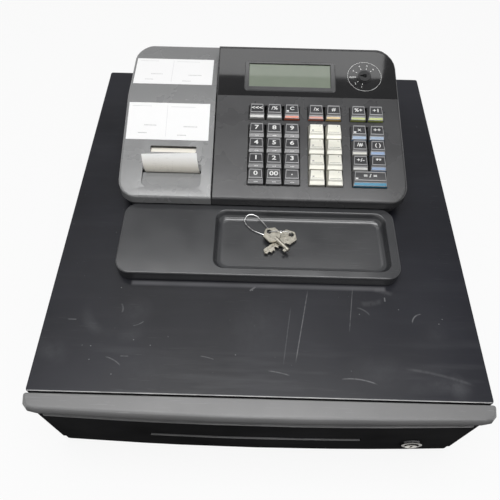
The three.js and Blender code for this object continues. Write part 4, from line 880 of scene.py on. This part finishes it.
def key_piece(node):
    """A cap in clear plastic over a printed insert: dark face, coloured front ledge, and pale edges and
    lighter sides painted as highlights.
    """
    bm = node_mesh(node)
    bm.transform(FROM_DECK)
    span = [[pick(v.co[i] for v in bm.verts) for pick in (min, max)] for i in (0, 1)]
    home = Matrix.Translation([sum(pair) / 2 for pair in span] + [0])
    bm.transform(home.inverted())
    bm.normal_update()
    sides = {}
    paints = {"riser": LEDGE, "front": FRONT if node in STRIPS else SIDE}
    for face in bm.faces:
        sides.setdefault(side_of(face), []).append(face.calc_center_median())
        face.material_index = paints.get(side_of(face), SIDE)
    top, ledge = sides["top"][0], sides["ledge"][0]
    round_edges(bm)
    # The rim round the face takes the edge's painted highlight
    face = rim(bm, top, FACE, EDGE, FACE_RIM)
    back = max(v.co.y for v in face.verts)
    for vert in face.verts:
        if vert.co.y > back - BACK_WITHIN:
            vert.co.y -= FACE_BACK_RIM
    face = rim(bm, ledge, FRONT, LEDGE, LEDGE_RIM)
    if node in STRIPS and node not in FULL_STRIPS:
        shorten_strip(bm, face)
    on_top = Matrix.Translation((top.x, top.y, KEY_HIGH - INK_SINK))
    on_ledge = Matrix.Translation((ledge.x, ledge.y, ledge.z - INK_SINK)) @ Matrix.Rotation(
        math.radians(LEDGE_SLOPE), 4, "X")
    if node.startswith("key_item"):
        # Cream keys: painted highlight on their edges, painted shade on their sides and front wall
        looks = ("cream_shaded", "cream", "cream_highlight", "cream", "cream_highlight", "black_ink", "grey_ink")
        print_item(bm, node, on_top)
    else:
        strip = f"strip_{STRIPS[node]}" if node in STRIPS else "cap_ledge"
        looks = ("cap_lit_side", "cap_face", "cap", strip, "cap_ledge", "white_ink")
        print_clear(bm, node, on_top, on_ledge)
    bm.transform(ON_DECK @ home)
    piece = mesh_object(f"{node}_cap", bm, BODY_OF[node], looks, (node,))
    smooth(piece, KEY_SHARP)


for node in sorted(NODES):
    if node.startswith("key_") and node not in ("key_frame", "key_ring"):
        key_piece(node)

# Cabinet, drawer and till: the feet and the release coil in millimetres
FOOT_TOP = 4
COIL = (Vector((22.8, 190, 6.5)), Vector((45.2, 220, 30)))
TRIM_SEGMENTS = 4
# How far a face's normal leans towards the side that it is painted for
FACES_FRONT = -0.7
FACES_UP = 0.5
COIL_NORMAL = 0.5
# Faces told by a place: how far off that place they may lie, in millimetres
WITHIN = 0.01


def is_front(face):
    return int(face.normal.y < FACES_FRONT)


def is_upper(face):
    return int(face.normal.z > FACES_UP)


def base_paint(face):
    """Rubber on the feet and copper on the release coil."""
    centre = face.calc_center_median() / MM
    if abs(centre.z) < FOOT_TOP - WITHIN and not is_upper(face):
        return 1
    inside = all(low <= value <= high for low, value, high in zip(COIL[0], centre, COIL[1]))
    return 2 if inside and abs(face.normal.x) < COIL_NORMAL else 0


# Its front-facing faces take the drawer's coat, which reflects nothing, as painted shade on the cover's front
# edges
dress("cabinet_cover", "steel", choose=is_front, looks=("drawer",))
dress("cabinet_base", "base", choose=base_paint, looks=("rubber", "copper"))
# Its front-facing faces take a darker copy of its plastic as painted shade
dress("front_trim", "nosing", choose=is_front, looks=("nosing_facing_shade",),
      segments=TRIM_SEGMENTS)
dress("drawer_body", "base")
# The drawer front's upward faces take a lighter coat as painted highlight
dress("drawer_front", "drawer", choose=is_upper, looks=("drawer_top_highlight",))
dress("drawer_lock", "lock")
dress("drawer_latch", "zinc")
dress("till_tray", "till")
for number in (1, 2, 3):
    dress(f"note_clip_{number}", "clip")

# A nickel ring over the lock's collar, in millimetres
COLLAR_RADIUS = 9.9
COLLAR_WIDE = 2.9
COLLAR_PROUD = 0.5
COLLAR_BEHIND = 1.1
COLLAR_STEPS = 48
COLLAR_ROUND = 0.2


def lock_collar():
    """A thin plated ring with a rounded face around the lock's plug, behind the plug's front."""
    bm = bmesh.new()
    low, high = (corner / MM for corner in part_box("drawer_lock"))
    middle = (low + high) / 2
    out = plane(low.y + COLLAR_BEHIND, middle.z, 90, middle.x)
    ring_plate(bm, COLLAR_RADIUS, COLLAR_WIDE, COLLAR_PROUD, out, COLLAR_STEPS)
    bmesh.ops.recalc_face_normals(bm, faces=bm.faces)
    soften(mesh_object("lock_collar", bm, "drawer", ("collar",)), COLLAR_ROUND)


lock_collar()

# Register: the recess of the customer's display, and openings as ranges across the deck and up it
REAR_WINDOW_X = (17, 103)
REAR_WINDOW_Y = 150
REAR_WINDOW_AREA = 3000
REAR_WINDOW_NORMAL = 0.8
KEY_WELLS = (-25, 135, 5, 120)
RECEIPT_WELLS = ((-123, -70, 49, 62), (-129, -64, 28, 34))
WALL_NORMAL = 0.3
# The raised frame round the display: the window's corners on the deck, how far the frame reaches past it, and
# the panel's own height
DISPLAY_WINDOW = [FROM_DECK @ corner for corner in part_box("display_glass")]
BEZEL_REACH = 7.5
BEZEL_PLATE = 0.02


def in_well(face, wells):
    """A wall of an opening in the deck, told by its place on the deck in millimetres."""
    centre = FROM_DECK @ face.calc_center_median()
    upright = abs((FROM_DECK.to_3x3() @ face.normal).normalized().z) < WALL_NORMAL
    return upright and centre.z < -WITHIN and any(
        x0 < centre.x < x1 and s0 < centre.y < s1 for x0, x1, s0, s1 in wells)


def case_paint(face):
    """Gloss black in the recess of the customer's display, and painted shade on the walls round the keys."""
    centre = face.calc_center_median() / MM
    rearward = face.normal.y > REAR_WINDOW_NORMAL and centre.y > REAR_WINDOW_Y
    inside = REAR_WINDOW_X[0] < centre.x < REAR_WINDOW_X[1]
    if rearward and inside and face.calc_area() / MM ** 2 < REAR_WINDOW_AREA:
        return 1
    return 2 if in_well(face, (KEY_WELLS,)) else 0


def cover_paint(face):
    """Painted shade on the walls in the receipt's window and slot."""
    return int(in_well(face, RECEIPT_WELLS))


def panel_paint(face):
    """The raised frame round the display differs a little from the panel."""
    centre = FROM_DECK @ face.calc_center_median()
    low, high = DISPLAY_WINDOW
    across = low.x - BEZEL_REACH < centre.x < high.x + BEZEL_REACH
    along = low.y - BEZEL_REACH < centre.y < high.y + BEZEL_REACH
    return int(across and along and centre.z > BEZEL_PLATE)


dress("register_base", "under")
dress("register_case", "case", choose=case_paint, looks=("panel", "dark"))
dress("printer_cover", "cover", choose=cover_paint, looks=("dark",))
dress("key_frame", "plate")
dress("mode_switch", "switch")
dress("printer_frame", "zinc")
dress("platen_roller", "rubber")
dress("paper_roll", "paper")
dress("receipt_paper", "receipt")
dress("display_glass", "display")
dress("display_panel", "panel", choose=panel_paint, looks=("bezel",))

# Tray, keys and wire
dress("coin_tray", "tray")
dress("drawer_key", "key_metal")
dress("mode_key", "key_metal")
dress("key_ring", "wire")

# Prints round the mode switch: degrees from the right with a plain sign each, and sizes in millimetres
SWITCH_SIGNS = ((255, "1"), (222, "2"), (186, "OFF"), (150, "3"), (112, "4"), (76, "5"), (44, "6"))
SWITCH_SIGN = {"size": 2.9, "wide": 1.15, "bold": 0.05}
SIGN_AT = 14.2
PRINT_RING = 19
PRINT_RING_WIDE = 0.32
TICK = (9.4, 11.2)
TICK_HALF = 0.3


def switch_prints():
    """A thin ring on the panel, with ticks, plain numbers and OFF."""
    low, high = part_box("mode_switch")
    middle = FROM_DECK @ ((low + high) / 2)
    around = ON_DECK @ Matrix.Translation((middle.x, middle.y, -INK_SINK))
    bm = bmesh.new()
    ring_plate(bm, PRINT_RING, PRINT_RING_WIDE, INK_THICK, around)
    for degrees, words in SWITCH_SIGNS:
        turn = math.radians(degrees)
        plate(bm, TICK, (-TICK_HALF, TICK_HALF), 0, INK_THICK, around @ Matrix.Rotation(turn, 4, "Z"))
        at = Vector((math.cos(turn), math.sin(turn), 0)) * SIGN_AT
        add_text(bm, words, place=around @ Matrix.Translation(at), index=0, **SWITCH_SIGN)
    bmesh.ops.recalc_face_normals(bm, faces=bm.faces)
    mesh_object("switch_prints", bm, "cabinet", ("white_ink",))


switch_prints()

# Two paper labels on the printer cover: edges in millimetres across and along, and thicknesses
LABEL_X = (-148.8, -59.8)
LOWER_LABEL_S = (66.8, 112.4)
UPPER_LABEL_R = (18.6, 61.4)
LABEL_THICK = 0.14
MARK_THICK = 0.02
# A label's material slots
STOCK, DASHES, RULE = range(3)
# Its marks: ranges across and along as shares of the label, and what they are
MARK_SHARES = (
    ((0.21, 0.36), (0.375, 0.393), DASHES), ((0.14, 0.25), (0.165, 0.183), DASHES),
    ((0.69, 0.86), (0.35, 0.368), DASHES), ((0.62, 0.73), (0.12, 0.138), DASHES),
    ((0.04, 0.28), (0.9, 0.912), RULE), ((0.52, 0.82), (0.89, 0.902), RULE),
    ((0.476, 0.48), (0.08, 0.94), RULE),
)
# Dashes over a label's whole width, the fewest in one mark, and how much of its step a dash takes
DASHES_ACROSS = 60
FEWEST_DASHES = 3
DASH_SHARE = 0.72


def label(name, place, low, high):
    """A white label with a faint divider, pale rules and short grey dashes."""
    bm = bmesh.new()
    left, right = LABEL_X
    plate(bm, LABEL_X, (low, high), STOCK, LABEL_THICK, place)
    face = raised(place, LABEL_THICK - INK_SINK)
    for (start, end), along_shares, kind in MARK_SHARES:
        along = [low + share * (high - low) for share in along_shares]
        count, filled = 1, 1
        if kind == DASHES:
            count, filled = max(FEWEST_DASHES, round((end - start) * DASHES_ACROSS)), DASH_SHARE
        step = (end - start) / count
        for i in range(count):
            across = [left + (start + part * step) * (right - left) for part in (i, i + filled)]
            plate(bm, across, along, kind, MARK_THICK, face)
    mesh_object(name, bm, "printer_cover", ("label", "grey_ink", "pale_ink"))


label("label_lower", ON_DECK, *LOWER_LABEL_S)
label("label_upper", ON_REAR, *UPPER_LABEL_R)

# Screws on the cabinet's back, in millimetres
SCREW_RADIUS = 3.2
SCREW_CENTRE = 0.01
SCREW_HIGH = 1.3
SCREW_SINK = 0.1
SCREW_STEPS = 20
SCREW_ROUND = 0.3
SCREW_X = (-188, -63, 63, 188)
SCREW_Z = (14, 112)
CROSS_HALF_LONG = 1.7
CROSS_HALF_WIDE = 0.35
CROSS_SINK = 0.02
CROSS_THICK = 0.03


def rear_screws():
    """Pan heads along the cabinet's folded back, each with a dark cross of painted shade for its recess."""
    bm = bmesh.new()
    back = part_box("cabinet_cover")[1].y / MM
    long, wide = ((-half, half) for half in (CROSS_HALF_LONG, CROSS_HALF_WIDE))
    for x in SCREW_X:
        for z in SCREW_Z:
            out = plane(back - SCREW_SINK, z, -90, x)
            ring_plate(bm, SCREW_RADIUS, SCREW_RADIUS - SCREW_CENTRE, SCREW_HIGH, out, SCREW_STEPS)
            # The cross is a thin dark plate: painted shade where a recess would be
            for across, along in ((long, wide), (wide, long)):
                plate(bm, across, along, 1, CROSS_THICK, raised(out, SCREW_HIGH - CROSS_SINK))
    bmesh.ops.recalc_face_normals(bm, faces=bm.faces)
    soften(mesh_object("rear_screws", bm, "cabinet", ("zinc", "dark")), SCREW_ROUND)


rear_screws()

# Camera at the photograph's place, in millimetres and degrees
CAMERA_AT = Vector((-9.46, -342.53, 562.91))
CAMERA_TURN = (33.526, -0.636, 1.395)
CAMERA_LENS = 36.76
CAMERA_SENSOR = 36


def photo_camera():
    data = bpy.data.cameras.new("photo_camera")
    data.lens = CAMERA_LENS
    data.sensor_width = CAMERA_SENSOR
    camera = bpy.data.objects.new("photo_camera", data)
    camera.location = CAMERA_AT * MM
    camera.rotation_euler = Euler([math.radians(a) for a in CAMERA_TURN], "XYZ")
    scene.collection.objects.link(camera)
    scene.camera = camera


photo_camera()

# A white horizon and a dim ceiling for what reflects, and an even, weaker light for the rest
WORLD_LIGHT = 0.15
HORIZON = 1.0
CEILING = 0.42
# The rise at which the horizon starts to dim, and at which the ceiling is reached
HORIZON_RISE = 0.17
CEILING_RISE = 0.55
WHITE = (1, 1, 1)


def studio_world():
    world = bpy.data.worlds.new("studio")
    scene.world = world
    world.use_nodes = True
    nodes = Nodes(world.node_tree)
    direction = nodes.add("TexCoord").outputs["Generated"]
    rise = nodes.add("SeparateXYZ", {"Vector": direction}).outputs["Z"]
    sky = nodes.span(rise, HORIZON_RISE, CEILING_RISE, HORIZON, CEILING)
    strength = nodes.span(nodes.seen(), 0, 1, WORLD_LIGHT, sky)
    ground = nodes.add("Background", {"Color": WHITE, "Strength": strength})
    nodes.add("OutputWorld", {"Surface": ground.outputs[0]})


studio_world()

# Soft boxes: place, target, width and depth in metres, and the radiance of their faces
LAMPS = {
    "overhead": ((-0.075, -0.1, 1.75), (-0.075, -0.11, 0), (1.35, 0.7), 6.3),
    "rear_box": ((-0.195, 0.781, 1.689), (-0.195, 0.14, 0.19), (1.41, 0.16), 2.95),
    "front_box": ((0.35, -1.0, 1.6), (0.05, -0.1, 0.13), (1.2, 0.5), 4),
}


def lamp(name, at, target, size, radiance):
    """A soft box whose face shows the given radiance."""
    data = bpy.data.lights.new(name, "AREA")
    data.shape = "RECTANGLE"
    data.size, data.size_y = size
    data.energy = radiance * math.pi * size[0] * size[1]
    box = bpy.data.objects.new(name, data)
    box.location = at
    box.rotation_euler = (Vector(target) - Vector(at)).to_track_quat("-Z", "Y").to_euler()
    scene.collection.objects.link(box)


for name, setting in LAMPS.items():
    lamp(name, *setting)

# A white floor that keeps the object's shadow: half its side in metres, and how much of it is plain white
FLOOR_HALF = 4
FLOOR_SHOWN = 0.75
FLOOR_TONE = 0.35
FLOOR_ROUGH = 0.7
FLOOR_GLOW = 1.18


def floor():
    graph = Graph("floor_white")
    graph.set(Base_Color=(FLOOR_TONE, FLOOR_TONE, FLOOR_TONE), Roughness=FLOOR_ROUGH)
    plain = graph.add("Emission", {"Color": WHITE, "Strength": FLOOR_GLOW})
    blend = graph.add("MixShader", {0: graph.times(graph.seen(), FLOOR_SHOWN), 1: graph.bsdf.outputs[0],
                                    2: plain.outputs[0]})
    graph.put(graph.out.inputs["Surface"], blend.outputs[0])
    bm = bmesh.new()
    bmesh.ops.create_grid(bm, x_segments=1, y_segments=1, size=FLOOR_HALF)
    mesh = bpy.data.meshes.new("floor")
    bm.to_mesh(mesh)
    bm.free()
    mesh.materials.append(graph.material)
    sheet = bpy.data.objects.new("floor", mesh)
    scene.collection.objects.link(sheet)


floor()
